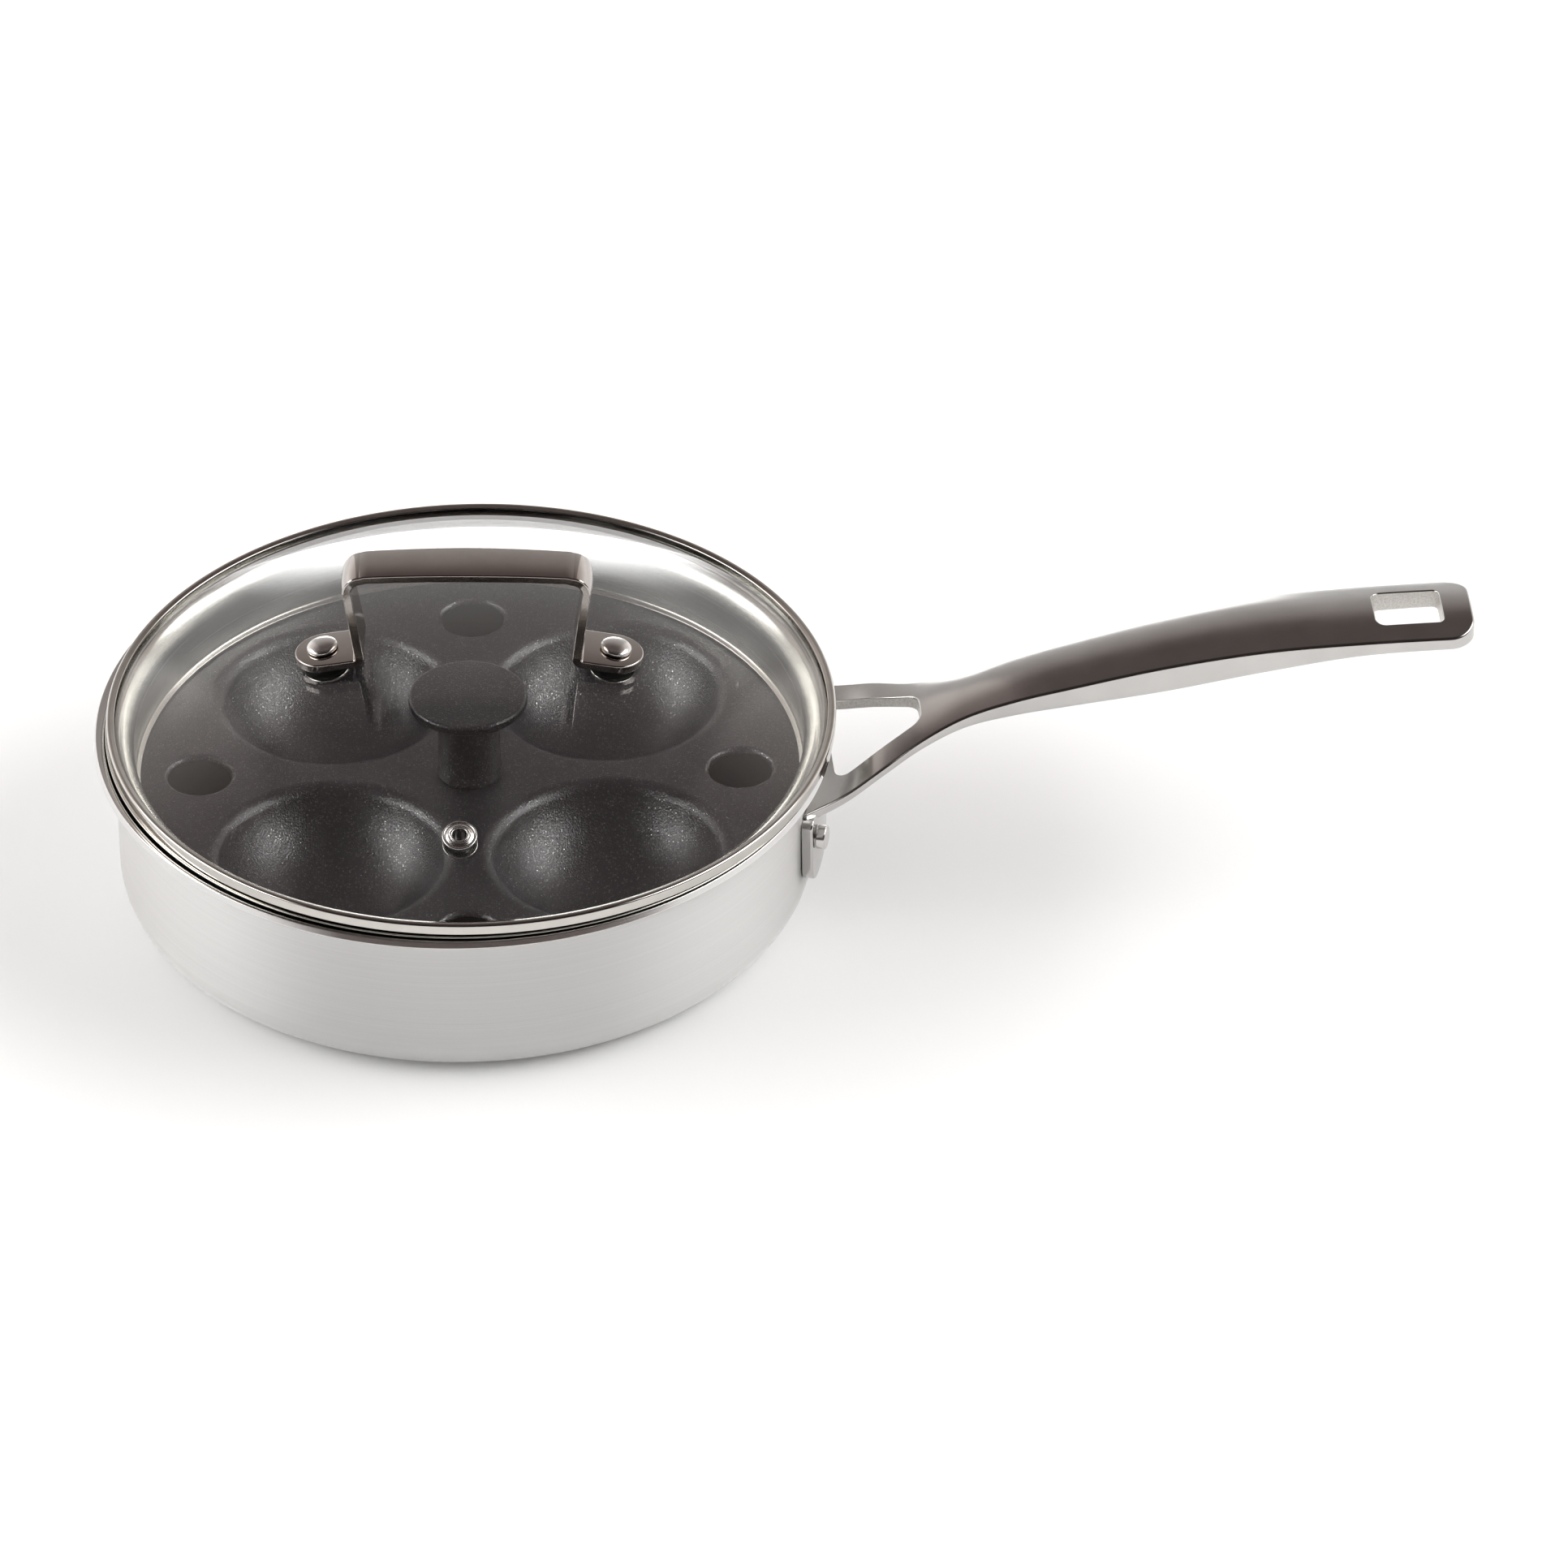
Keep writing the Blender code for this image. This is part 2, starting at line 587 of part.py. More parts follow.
def build_tray_mesh():
    sheet = bmesh.new()
    loops = [ring_of_points(sheet, (0.0, 0.0), tray_edge, 0.0, LARGE_STEPS)]
    for degrees in (45.0, 135.0, 225.0, 315.0):
        centre = around(cup_centre_radius, degrees)
        rings = [ring_of_points(sheet, centre, radius, height, MEDIUM_STEPS)
                 for radius, height in cup_profile()]
        for outer, inner in zip(rings, rings[1:]):
            join_rings(sheet, outer, inner)
        sheet.faces.new(rings[-1])
        loops.append(rings[0])
    for degrees in (0.0, 90.0, 180.0, 270.0):
        centre = around(steam_hole_centre_radius, degrees)
        rim = ring_of_points(sheet, centre, STEAM_HOLE_RADIUS + STEAM_HOLE_CHAMFER, 0.0, MEDIUM_STEPS)
        throat = ring_of_points(sheet, centre, STEAM_HOLE_RADIUS, -STEAM_HOLE_DROP, MEDIUM_STEPS)
        join_rings(sheet, rim, throat)
        loops.append(rim)
    loops.append(ring_of_points(sheet, (0.0, 0.0), KNOB_BORE_RADIUS + SEAT_GAP, 0.0, SMALL_STEPS))
    boundary = []
    for loop in loops:
        for index, point in enumerate(loop):
            following = loop[(index + 1) % len(loop)]
            boundary.append(sheet.edges.get((point, following)) or sheet.edges.new((point, following)))
    bmesh.ops.triangle_fill(sheet, use_beauty=True, edges=boundary, normal=(0.0, 0.0, 1.0))
    bmesh.ops.recalc_face_normals(sheet, faces=sheet.faces)
    if sum(face.normal.z * face.calc_area() for face in sheet.faces) < 0.0:
        bmesh.ops.reverse_faces(sheet, faces=sheet.faces)
    mesh = bpy.data.meshes.new("egg_tray")
    sheet.to_mesh(mesh)
    sheet.free()
    mesh.shade_smooth()
    return mesh


egg_tray = add_object("egg_tray", build_tray_mesh(), COATING, parent=insert_frame)
egg_tray.location = (0.0, 0.0, -TRAY_DROP)
thicken = egg_tray.modifiers.new("sheet_thickness", "SOLIDIFY")
thicken.thickness = TRAY_THICKNESS
thicken.offset = -1.0
thicken.use_even_offset = True

# Tray knob: disc, waisted stem and foot, with a blind bore for its screw
knob_base = -TRAY_DROP + SEAT_GAP
knob_top = knob_base + KNOB_HEIGHT
disc_low = knob_top - KNOB_DISC_THICKNESS
disc_corner = KNOB_DISC_RADIUS - KNOB_DISC_ROUND
knob_profile = [(0.0, knob_top)]
knob_profile += arc(disc_corner, knob_top - KNOB_DISC_ROUND, KNOB_DISC_ROUND, 90.0, 0.0, 2)
knob_profile += arc(disc_corner, disc_low + KNOB_DISC_ROUND, KNOB_DISC_ROUND, 0.0, -90.0, 2)
knob_profile += arc(KNOB_STEM_RADIUS + KNOB_NECK_RADIUS, disc_low - KNOB_NECK_RADIUS,
                    KNOB_NECK_RADIUS, 90.0, 180.0, 3)
knob_profile += [
    (KNOB_STEM_RADIUS, knob_base + KNOB_FOOT_HEIGHT + KNOB_FOOT_TAPER),
    (KNOB_FOOT_RADIUS, knob_base + KNOB_FOOT_HEIGHT),
    (KNOB_FOOT_RADIUS, knob_base),
    (KNOB_BORE_RADIUS, knob_base),
    (KNOB_BORE_RADIUS, knob_base + KNOB_BORE_DEPTH),
    (0.0, knob_base + KNOB_BORE_DEPTH + KNOB_BORE_POINT),
]
turned("tray_knob", knob_profile, COATING, MEDIUM_STEPS, parent=insert_frame)

washer_top = bead_low
washer_low = washer_top - KNOB_WASHER_THICKNESS
turned("knob_washer", [
    (KNOB_WASHER_RADIUS, washer_top),
    (KNOB_WASHER_RADIUS, washer_low),
    (KNOB_BORE_RADIUS, washer_low),
    (KNOB_BORE_RADIUS, washer_top),
], BRIGHT_STEEL, SMALL_STEPS, closed=True, parent=insert_frame)

screw_radius = KNOB_BORE_RADIUS - SEAT_GAP
screw_head_top = washer_low - SEAT_GAP
screw_head_low = screw_head_top - KNOB_SCREW_HEAD_HEIGHT
turned("knob_screw", [
    (0.0, screw_head_top + KNOB_SCREW_LENGTH),
    (screw_radius, screw_head_top + KNOB_SCREW_LENGTH),
    (screw_radius, screw_head_top),
    (KNOB_SCREW_HEAD_RADIUS, screw_head_top),
    (KNOB_SCREW_HEAD_RADIUS, screw_head_low + KNOB_SCREW_HEAD_CHAMFER),
    (KNOB_SCREW_HEAD_RADIUS - KNOB_SCREW_HEAD_CHAMFER, screw_head_low),
    (0.0, screw_head_low),
], BRIGHT_STEEL, SMALL_STEPS, parent=insert_frame)

# Lid glass: a dome of even thickness whose edge lies in the band
lid_frame = add_empty("lid_frame", (LID_SHIFT, 0.0, 0.0), (0.0, 0.0, LID_TURN), parent=insert_frame)
band_low = flange_low + RING_THICKNESS + SEAT_GAP
band_radius = ring_edge + BAND_OVERHANG
glass_edge = band_radius - BAND_THICKNESS - SEAT_GAP
glass_edge_low = band_low + BAND_THICKNESS + SEAT_GAP
glass_edge_top = glass_edge_low + GLASS_EDGE_THICKNESS
dome_radius = (glass_edge ** 2 + GLASS_RISE ** 2) / (2.0 * GLASS_RISE)
dome_top = glass_edge_top + GLASS_RISE
dome_centre = dome_top - dome_radius


def glass_height(distance):
    """Height of the glass's upper face at a distance from the lid's axis."""
    return dome_centre + math.sqrt(dome_radius ** 2 - distance ** 2)


def under_glass_height(distance):
    """Height of the glass's lower face, ground flat where it stands on the band."""
    inner = dome_radius - GLASS_THICKNESS
    return max(dome_centre + math.sqrt(inner ** 2 - distance ** 2), glass_edge_low)


glass_stops = [glass_edge * share for share in (0.0, 0.2, 0.38, 0.54, 0.69, 0.83, 0.95, 1.0)]
glass_profile = [(stop, glass_height(stop)) for stop in glass_stops]
glass_profile += [(stop, under_glass_height(stop)) for stop in reversed(glass_stops)]
lid_glass = turned("lid_glass", glass_profile, GLASS, LARGE_STEPS, parent=lid_frame)

# Lid band: a rolled channel that holds the edge of the glass
band_top_edge = band_radius - BAND_TOP_WIDTH
band_low_edge = band_radius - BAND_BOTTOM_WIDTH
band_inner = band_radius - BAND_THICKNESS
grip_height = glass_height(band_top_edge) + SEAT_GAP
band_top = grip_height + BAND_THICKNESS + BAND_CROWN
band_profile = [(band_top_edge, grip_height + BAND_THICKNESS)]
band_profile += arc(band_radius - BAND_ROUND, band_top - BAND_ROUND, BAND_ROUND, 90.0, 0.0, 2)
band_profile += [
    (band_radius, band_low + BAND_CHAMFER),
    (band_radius - BAND_CHAMFER, band_low),
    (band_low_edge, band_low),
    (band_low_edge, band_low + BAND_THICKNESS),
    (band_inner, band_low + BAND_THICKNESS),
    (band_inner, grip_height),
    (band_top_edge, grip_height),
]
turned("lid_band", band_profile, BRIGHT_STEEL, LARGE_STEPS, closed=True, parent=lid_frame)


def dome_seat(distance, azimuth):
    """Frame on the glass's upper face, with Z square to the glass."""
    tilt = math.asin(distance / dome_radius)
    return (Matrix.Translation((0.0, 0.0, dome_centre)) @ Matrix.Rotation(azimuth, 4, "Z")
            @ Matrix.Rotation(tilt, 4, "Y") @ Matrix.Translation((0.0, 0.0, dome_radius)))


lid_matrix = (Matrix.Translation(insert_place) @ Matrix.Translation((LID_SHIFT, 0.0, 0.0))
              @ Matrix.Rotation(LID_TURN, 4, "Z"))

# Steam vent: eyelet rolled over a soft seal, toward the front of the lid
vent_seat = lid_matrix @ dome_seat(glass_edge - VENT_INSET, math.radians(-90.0))
seal_top = SEAT_GAP + SEAL_THICKNESS
lip_base = seal_top + SEAT_GAP
eyelet_low = -GLASS_THICKNESS - SEAT_GAP
steam_vent_eyelet = turned("steam_vent_eyelet", [
    (EYELET_BORE_RADIUS, lip_base + EYELET_MOUTH_THICKNESS),
    ((EYELET_RADIUS + EYELET_BORE_RADIUS) / 2.0, lip_base + EYELET_LIP_THICKNESS),
    (EYELET_RADIUS, lip_base + EYELET_EDGE_THICKNESS),
    (EYELET_RADIUS, lip_base),
    (EYELET_BARREL_RADIUS, lip_base),
    (EYELET_BARREL_RADIUS, eyelet_low),
    (EYELET_RADIUS, eyelet_low),
    (EYELET_RADIUS, eyelet_low - EYELET_EDGE_THICKNESS),
    (EYELET_BORE_RADIUS, eyelet_low - EYELET_LIP_THICKNESS),
], BRIGHT_STEEL, SMALL_STEPS, closed=True)
steam_vent_eyelet.matrix_world = vent_seat
steam_vent_seal = turned("steam_vent_seal", [
    (SEAL_RADIUS, seal_top),
    (SEAL_RADIUS, SEAT_GAP),
    (EYELET_BARREL_RADIUS + SEAT_GAP, SEAT_GAP),
    (EYELET_BARREL_RADIUS + SEAT_GAP, seal_top),
], SILICONE, SMALL_STEPS, closed=True)
steam_vent_seal.matrix_world = vent_seat
vent_hole = rod_cutter("vent_hole", EYELET_BARREL_RADIUS + SEAT_GAP, -2.0 * GLASS_THICKNESS, GLASS_THICKNESS)
vent_hole.matrix_world = vent_seat
combine(lid_glass, vent_hole, "DIFFERENCE")

# Lid handle: a strap swept along feet, legs and an arched bar, as one bent piece
foot_base = SEAT_GAP + PAD_THICKNESS + SEAT_GAP
foot_tilt = math.asin(LID_RIVET_OFFSET / dome_radius)
foot_middle_radius = dome_radius + foot_base + STRAP_THICKNESS / 2.0
foot_centre_height = dome_centre + foot_middle_radius * math.cos(foot_tilt)
foot_centre_x = foot_middle_radius * math.sin(foot_tilt)


def foot_line(x):
    """Height of the foot's middle plane, parallel to the glass beneath the rivet."""
    return foot_centre_height + (foot_centre_x - x) * math.tan(foot_tilt)


def strap_route():
    """Middle line of the right half of the strap, from the foot's end up to the bar's middle."""
    foot_end = foot_centre_x + FOOT_HALF_WIDTH * math.cos(foot_tilt)
    bend = LEG_FOOT_OFFSET - STRAP_THICKNESS / 2.0
    bar_middle = dome_top + BAR_HEIGHT - STRAP_THICKNESS / 2.0
    knee = BAR_HALF_SPAN - STRAP_THICKNESS / 2.0
    points = []
    for index in range(5):
        x = foot_end + (foot_centre_x - foot_end) * index / 4.0
        points.append((x, foot_line(x)))
    bend_start = bend + STRAP_BEND_RADIUS * (1.0 - math.sin(foot_tilt))
    bend_centre = foot_line(bend_start) + STRAP_BEND_RADIUS * math.cos(foot_tilt)
    points += arc(bend + STRAP_BEND_RADIUS, bend_centre, STRAP_BEND_RADIUS,
                  270.0 - math.degrees(foot_tilt), 180.0, 3)
    corner_low = bar_middle - BAR_ARCH - STRAP_SHOULDER_RADIUS
    points.append(((bend + knee) / 2.0, (bend_centre + corner_low) / 2.0))
    points += arc(knee - STRAP_SHOULDER_RADIUS, corner_low, STRAP_SHOULDER_RADIUS, 0.0, 80.0, 4)
    for share in (0.6, 0.3, 0.0):
        points.append((knee * share, bar_middle - BAR_ARCH * share ** 2))
    return points


def strap_half_width(index, count):
    """Round at the foot's end, full at the foot, narrower at the shoulder, wide at the bar."""
    foot_samples = 4
    if index <= foot_samples:
        share = 1.0 - index / foot_samples
        return max(FOOT_HALF_WIDTH * math.sqrt(1.0 - share ** 2), FOOT_END_HALF_WIDTH)
    bend_samples = foot_samples + 4
    if index <= bend_samples:
        return FOOT_HALF_WIDTH
    share = (index - bend_samples) / (count - 1 - bend_samples)
    if share < 0.5:
        return FOOT_HALF_WIDTH + (BAR_END_HALF_WIDTH - FOOT_HALF_WIDTH) * share * 2.0
    return BAR_END_HALF_WIDTH + (BAR_HALF_WIDTH - BAR_END_HALF_WIDTH) * (share * 2.0 - 1.0)


def strap_crown(height):
    """Nearly flat on the feet, fuller on the legs and the bar."""
    share = min(max((height - foot_centre_height) / STRAP_CROWN_RUN, 0.0), 1.0)
    return FOOT_CROWN + (STRAP_CROWN - FOOT_CROWN) * share


def build_strap_mesh():
    """Loft of a flat-bottomed, crowned strip along the whole route, left foot to right foot."""
    right = strap_route()
    widths = [strap_half_width(index, len(right)) for index in range(len(right))]
    route = right + [(-x, z) for x, z in reversed(right[:-1])]
    widths = widths + list(reversed(widths[:-1]))
    body = bmesh.new()
    rings = []
    for index, (x, z) in enumerate(route):
        before = Vector(route[max(index - 1, 0)])
        after = Vector(route[min(index + 1, len(route) - 1)])
        along = (after - before).normalized()
        outward = Vector((along.y, -along.x))
        half = widths[index]
        crown = strap_crown(z)
        middle = Vector((x, z))
        thick = STRAP_THICKNESS / 2.0
        section = [(half * share, thick - crown * share ** 2) for share in (-1.0, -0.6, 0.0, 0.6, 1.0)]
        section += [(half, STRAP_EDGE - thick), (half - STRAP_EDGE, -thick),
                    (STRAP_EDGE - half, -thick), (-half, STRAP_EDGE - thick)]
        ring = []
        for across, out in section:
            place = middle + outward * out
            ring.append(body.verts.new((place.x, across, place.y)))
        rings.append(ring)
    for first, second in zip(rings, rings[1:]):
        count = len(first)
        for index in range(count):
            following = (index + 1) % count
            body.faces.new((first[index], second[index], second[following], first[following]))
    body.faces.new(rings[0])
    body.faces.new(list(reversed(rings[-1])))
    bmesh.ops.recalc_face_normals(body, faces=body.faces)
    mesh = bpy.data.meshes.new("lid_handle")
    body.to_mesh(mesh)
    body.free()
    mesh.shade_smooth()
    mesh.set_sharp_from_angle(angle=math.radians(50.0))
    return mesh


lid_handle = add_object("lid_handle", build_strap_mesh(), BRIGHT_STEEL, parent=lid_frame)

# Fixings of each foot: rivet, soft pad on the glass, bush through it and washer below it
for side, side_name in ((0.0, "right"), (math.pi, "left")):
    seat = lid_matrix @ dome_seat(LID_RIVET_OFFSET, side)
    foot_top = foot_base + STRAP_THICKNESS + SEAT_GAP
    bush_low = -GLASS_THICKNESS - SEAT_GAP - BUSH_FLANGE_THICKNESS
    washer_high = bush_low - SEAT_GAP
    washer_under = washer_high - INNER_WASHER_THICKNESS
    inner_head = washer_under - SEAT_GAP
    sleeve_inner = LID_RIVET_SHANK_RADIUS + SEAT_GAP
    head_edge = foot_top + LID_RIVET_HEAD_EDGE
    head_dome = dome(LID_RIVET_HEAD_RADIUS, head_edge, LID_RIVET_HEAD_HEIGHT - LID_RIVET_HEAD_EDGE)
    rivet_profile = head_dome[::-1] + [
        (LID_RIVET_HEAD_RADIUS, foot_top),
        (LID_RIVET_SHANK_RADIUS, foot_top),
        (LID_RIVET_SHANK_RADIUS, inner_head),
        (INNER_HEAD_RADIUS, inner_head),
        (INNER_HEAD_RADIUS - INNER_HEAD_CHAMFER, inner_head - INNER_HEAD_HEIGHT),
        (0.0, inner_head - INNER_HEAD_HEIGHT),
    ]
    lid_rivet = turned("lid_rivet_" + side_name, rivet_profile, BRIGHT_STEEL, SMALL_STEPS)
    pad = turned("foot_pad_" + side_name, [
        (PAD_RADIUS, SEAT_GAP + PAD_THICKNESS),
        (PAD_RADIUS, SEAT_GAP),
        (sleeve_inner, SEAT_GAP),
        (sleeve_inner, SEAT_GAP + PAD_THICKNESS),
    ], SILICONE, SMALL_STEPS, closed=True)
    bush = turned("rivet_bush_" + side_name, [
        (BUSH_RADIUS, 0.0),
        (BUSH_RADIUS, -GLASS_THICKNESS - SEAT_GAP),
        (BUSH_FLANGE_RADIUS, -GLASS_THICKNESS - SEAT_GAP),
        (BUSH_FLANGE_RADIUS, bush_low),
        (sleeve_inner, bush_low),
        (sleeve_inner, 0.0),
    ], SILICONE, SMALL_STEPS, closed=True)
    inner_washer = turned("inner_washer_" + side_name, [
        (INNER_WASHER_RADIUS, washer_high),
        (INNER_WASHER_RADIUS, washer_under),
        (sleeve_inner, washer_under),
        (sleeve_inner, washer_high),
    ], BRIGHT_STEEL, SMALL_STEPS, closed=True)
    for item in (lid_rivet, pad, bush, inner_washer):
        item.matrix_world = seat
    glass_hole = rod_cutter("glass_hole_" + side_name, BUSH_RADIUS + SEAT_GAP,
                            -2.0 * GLASS_THICKNESS, GLASS_THICKNESS)
    foot_hole = rod_cutter("foot_hole_" + side_name, LID_RIVET_SHANK_RADIUS + SEAT_GAP,
                           0.0, foot_top + STRAP_THICKNESS)
    glass_hole.matrix_world = seat
    foot_hole.matrix_world = seat
    combine(lid_glass, glass_hole, "DIFFERENCE")
    combine(lid_handle, foot_hole, "DIFFERENCE")

bpy.context.view_layer.update()
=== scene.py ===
import math

import bmesh
import bpy
import numpy as np
from mathutils import Matrix, Vector
from mathutils.geometry import delaunay_2d_cdt


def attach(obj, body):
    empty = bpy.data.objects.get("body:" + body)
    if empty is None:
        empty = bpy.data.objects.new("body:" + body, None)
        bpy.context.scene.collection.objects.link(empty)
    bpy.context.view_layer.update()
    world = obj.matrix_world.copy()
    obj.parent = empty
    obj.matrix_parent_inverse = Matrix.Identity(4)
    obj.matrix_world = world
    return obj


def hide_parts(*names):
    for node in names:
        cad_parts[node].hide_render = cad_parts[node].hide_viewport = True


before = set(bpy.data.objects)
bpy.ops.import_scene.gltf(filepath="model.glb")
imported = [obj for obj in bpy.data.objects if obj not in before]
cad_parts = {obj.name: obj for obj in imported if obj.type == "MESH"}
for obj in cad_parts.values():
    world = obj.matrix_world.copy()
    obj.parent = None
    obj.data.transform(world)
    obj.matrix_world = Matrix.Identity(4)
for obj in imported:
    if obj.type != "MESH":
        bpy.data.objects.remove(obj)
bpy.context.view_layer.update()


# Pan body: one sheet of stainless steel, drawn and spun, with the lip flared out and its edge ground to
# a slope. The wall and the floor are turned to a satin with fine rings, and the lip is polished.
PAN_HEIGHT = 0.0527
WALL_RADIUS = 0.1046
WALL_LEAN = 0.00024
SHEET = 0.0025
BASE_CORNER = 0.0118
LIP_CURVE = 0.0055
LIP_TURN = 85.0
LIP_SLOPE = 20.0
LIP_SLOPE_LOW = 0.0006
LIP_UNDERCUT = 0.0006
# The satin goes over into polish between these two heights.
LIP_POLISH = (PAN_HEIGHT - 0.0020, PAN_HEIGHT - 0.0006)
PAN_STEEL = (0.69, 0.685, 0.675)


def arc(centre_x, centre_z, radius, start, end, steps):
    """Points on a circle, from one angle in degrees to another, both ends included."""
    angles = [math.radians(start + (end - start) * step / steps) for step in range(steps + 1)]
    return [(centre_x + radius * math.cos(angle), centre_z + radius * math.sin(angle)) for angle in angles]


def softened(corners, closed=True, steps=5):
    """A profile through corners given as (radius, height, rounding), each corner rounded by an arc."""
    points = []
    total = len(corners)
    for index, (x, z, rounding) in enumerate(corners):
        here = Vector((x, z))
        at_end = not closed and index in (0, total - 1)
        if rounding == 0.0 or at_end:
            points.append((x, z))
            continue
        before = (Vector(corners[index - 1][:2]) - here).normalized()
        after = (Vector(corners[(index + 1) % total][:2]) - here).normalized()
        half = before.angle(after) / 2.0
        centre = here + (before + after).normalized() * rounding / math.sin(half)
        first = here + before * rounding / math.tan(half) - centre
        last = here + after * rounding / math.tan(half) - centre
        sweep = first.angle_signed(last)
        for step in range(steps + 1):
            spoke = first.copy()
            spoke.rotate(Matrix.Rotation(-sweep * step / steps, 2))
            points.append(tuple(centre + spoke))
    return points


def turned_piece(name, profile, finish, body, node, closed=False, steps=160, place=Matrix()):
    """Turns a profile of (radius, height) round the Z axis, as on a lathe, and fits it to its body."""
    shell = bmesh.new()
    rings = []
    for radius, height in profile:
        count = 1 if radius < 1e-7 else steps
        angles = [2.0 * math.pi * step / steps for step in range(count)]
        rings.append([shell.verts.new((radius * math.cos(angle), radius * math.sin(angle), height))
                      for angle in angles])
    for outer, inner in zip(rings, rings[1:] + (rings[:1] if closed else [])):
        for step in range(steps):
            quad = []
            for ring, index in ((outer, step), (outer, step + 1), (inner, step + 1), (inner, step)):
                corner = ring[index % len(ring)]
                if corner not in quad:
                    quad.append(corner)
            if len(quad) > 2:
                shell.faces.new(quad)
    bmesh.ops.recalc_face_normals(shell, faces=shell.faces)
    mesh = bpy.data.meshes.new(name)
    shell.to_mesh(mesh)
    shell.free()
    mesh.shade_smooth()
    return fitted(name, mesh, finish, body, node, place)


def fitted(name, mesh, finish, body, node, place=Matrix()):
    """Puts a made piece in its place, gives it its finish and ties it to the frame."""
    mesh.materials.append(finish)
    piece = bpy.data.objects.new(name, mesh)
    bpy.context.scene.collection.objects.link(piece)
    piece.matrix_world = place
    even = piece.modifiers.new("even_shading", "WEIGHTED_NORMAL")
    even.keep_sharp = True
    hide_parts(node)
    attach(piece, body)
    return piece


def finish_of(name, colour, metallic, roughness):
    """A new finish with its plain values, the tree in which its detail is drawn, and its surface."""
    finish = bpy.data.materials.new(name)
    finish.use_nodes = True
    shader = finish.node_tree.nodes["Principled BSDF"]
    shader.inputs["Base Color"].default_value = (*colour, 1.0)
    shader.inputs["Metallic"].default_value = metallic
    shader.inputs["Roughness"].default_value = roughness
    return finish, finish.node_tree, shader


def join(tree, value, socket):
    """Links a socket to another socket, or sets it to a plain value."""
    if isinstance(value, bpy.types.NodeSocket):
        tree.links.new(value, socket)
    else:
        socket.default_value = value


def node_of(tree, kind, **inputs):
    """One node of a finish, with its inputs set or joined by name, or by number as i0 and i1."""
    made = tree.nodes.new("ShaderNode" + kind)
    for key, value in inputs.items():
        by_number = key[0] == "i" and key[1:].isdigit()
        join(tree, value, made.inputs[int(key[1:]) if by_number else key.replace("_", " ")])
    return made


def maths(tree, operation, first, second=0.0, third=0.0):
    """One working out, such as a sum or a product, of plain values and sockets."""
    made = tree.nodes.new("ShaderNodeMath")
    made.operation = operation
    for socket, value in zip(made.inputs, (first, second, third)):
        join(tree, value, socket)
    return made.outputs[0]


def ranged(tree, value, low, high, to_low, to_high):
    """Maps a value from one range to another and holds it inside."""
    made = node_of(tree, "MapRange", Value=value, From_Min=low, From_Max=high, To_Min=to_low, To_Max=to_high)
    return made.outputs[0]


def spread(tree, noise, low, high):
    """Stretches the middle of a noise, where most of its values lie, over a range."""
    return ranged(tree, noise, 0.3, 0.7, low, high)


def scaled(tree, colour, share):
    """A colour made lighter or darker by a share."""
    made = node_of(tree, "VectorMath", i0=colour)
    made.operation = "SCALE"
    join(tree, share, made.inputs["Scale"])
    return made.outputs[0]


def grain(tree, vector, scale, detail=3.0, roughness=0.55):
    """Soft noise of a given fineness."""
    made = node_of(tree, "TexNoise", Vector=vector, Scale=scale, Detail=detail, Roughness=roughness)
    return made.outputs["Fac"]


def spot(tree):
    """The place on the piece itself, in metres, and its three parts."""
    place = tree.nodes.new("ShaderNodeTexCoord").outputs["Object"]
    parts = node_of(tree, "SeparateXYZ", Vector=place).outputs
    return place, parts[0], parts[1], parts[2]


def ring_marks(tree, pitch, drift):
    """Noise that runs in rings round the piece's axis, as a turning tool or a polishing wheel leaves it."""
    x, y, z = spot(tree)[1:]
    radius = maths(tree, "SQRT", maths(tree, "ADD", maths(tree, "MULTIPLY", x, x), maths(tree, "MULTIPLY", y, y)))
    across = maths(tree, "DIVIDE", maths(tree, "ADD", radius, z), pitch)
    lane = node_of(tree, "CombineXYZ", X=maths(tree, "MULTIPLY", x, drift),
                   Y=maths(tree, "MULTIPLY", y, drift), Z=across)
    return grain(tree, lane.outputs[0], 1.0)


def raised(tree, shader, height, strength, depth):
    """Shades a surface as if a noise stood out of it by a small depth."""
    bump = node_of(tree, "Bump", Height=height, Strength=strength, Distance=depth)
    join(tree, bump.outputs[0], shader.inputs["Normal"])


def satin_steel(name, colour, rough, polish_low, polish_high):
    """Turned satin sheet: fine rings in its bump, tone and gloss, and a polished rim.

    The rings draw a highlight out across themselves, so the tangent is turned by a quarter.
    """
    finish, tree, shader = finish_of(name, colour, 1.0, rough)
    fine = ring_marks(tree, 0.00022, 2.0)
    broad = ring_marks(tree, 0.0016, 1.0)
    polish = ranged(tree, spot(tree)[3], polish_low, polish_high, 0.0, 1.0)
    satin = maths(tree, "ADD", spread(tree, fine, rough, rough + 0.07), spread(tree, broad, -0.02, 0.03))
    gloss = node_of(tree, "Mix", Factor=polish, A=satin, B=0.07)
    join(tree, gloss.outputs[0], shader.inputs["Roughness"])
    tone = maths(tree, "MULTIPLY", ranged(tree, fine, 0.25, 0.75, 0.94, 1.04), spread(tree, broad, 0.97, 1.02))
    join(tree, scaled(tree, colour, tone), shader.inputs["Base Color"])
    shader.inputs["Anisotropic"].default_value = 0.88
    shader.inputs["Anisotropic Rotation"].default_value = 0.25
    tangent = tree.nodes.new("ShaderNodeTangent")
    tangent.direction_type = "RADIAL"
    tangent.axis = "Z"
    join(tree, tangent.outputs[0], shader.inputs["Tangent"])
    raised(tree, shader, fine, 0.05, 0.0001)
    return finish


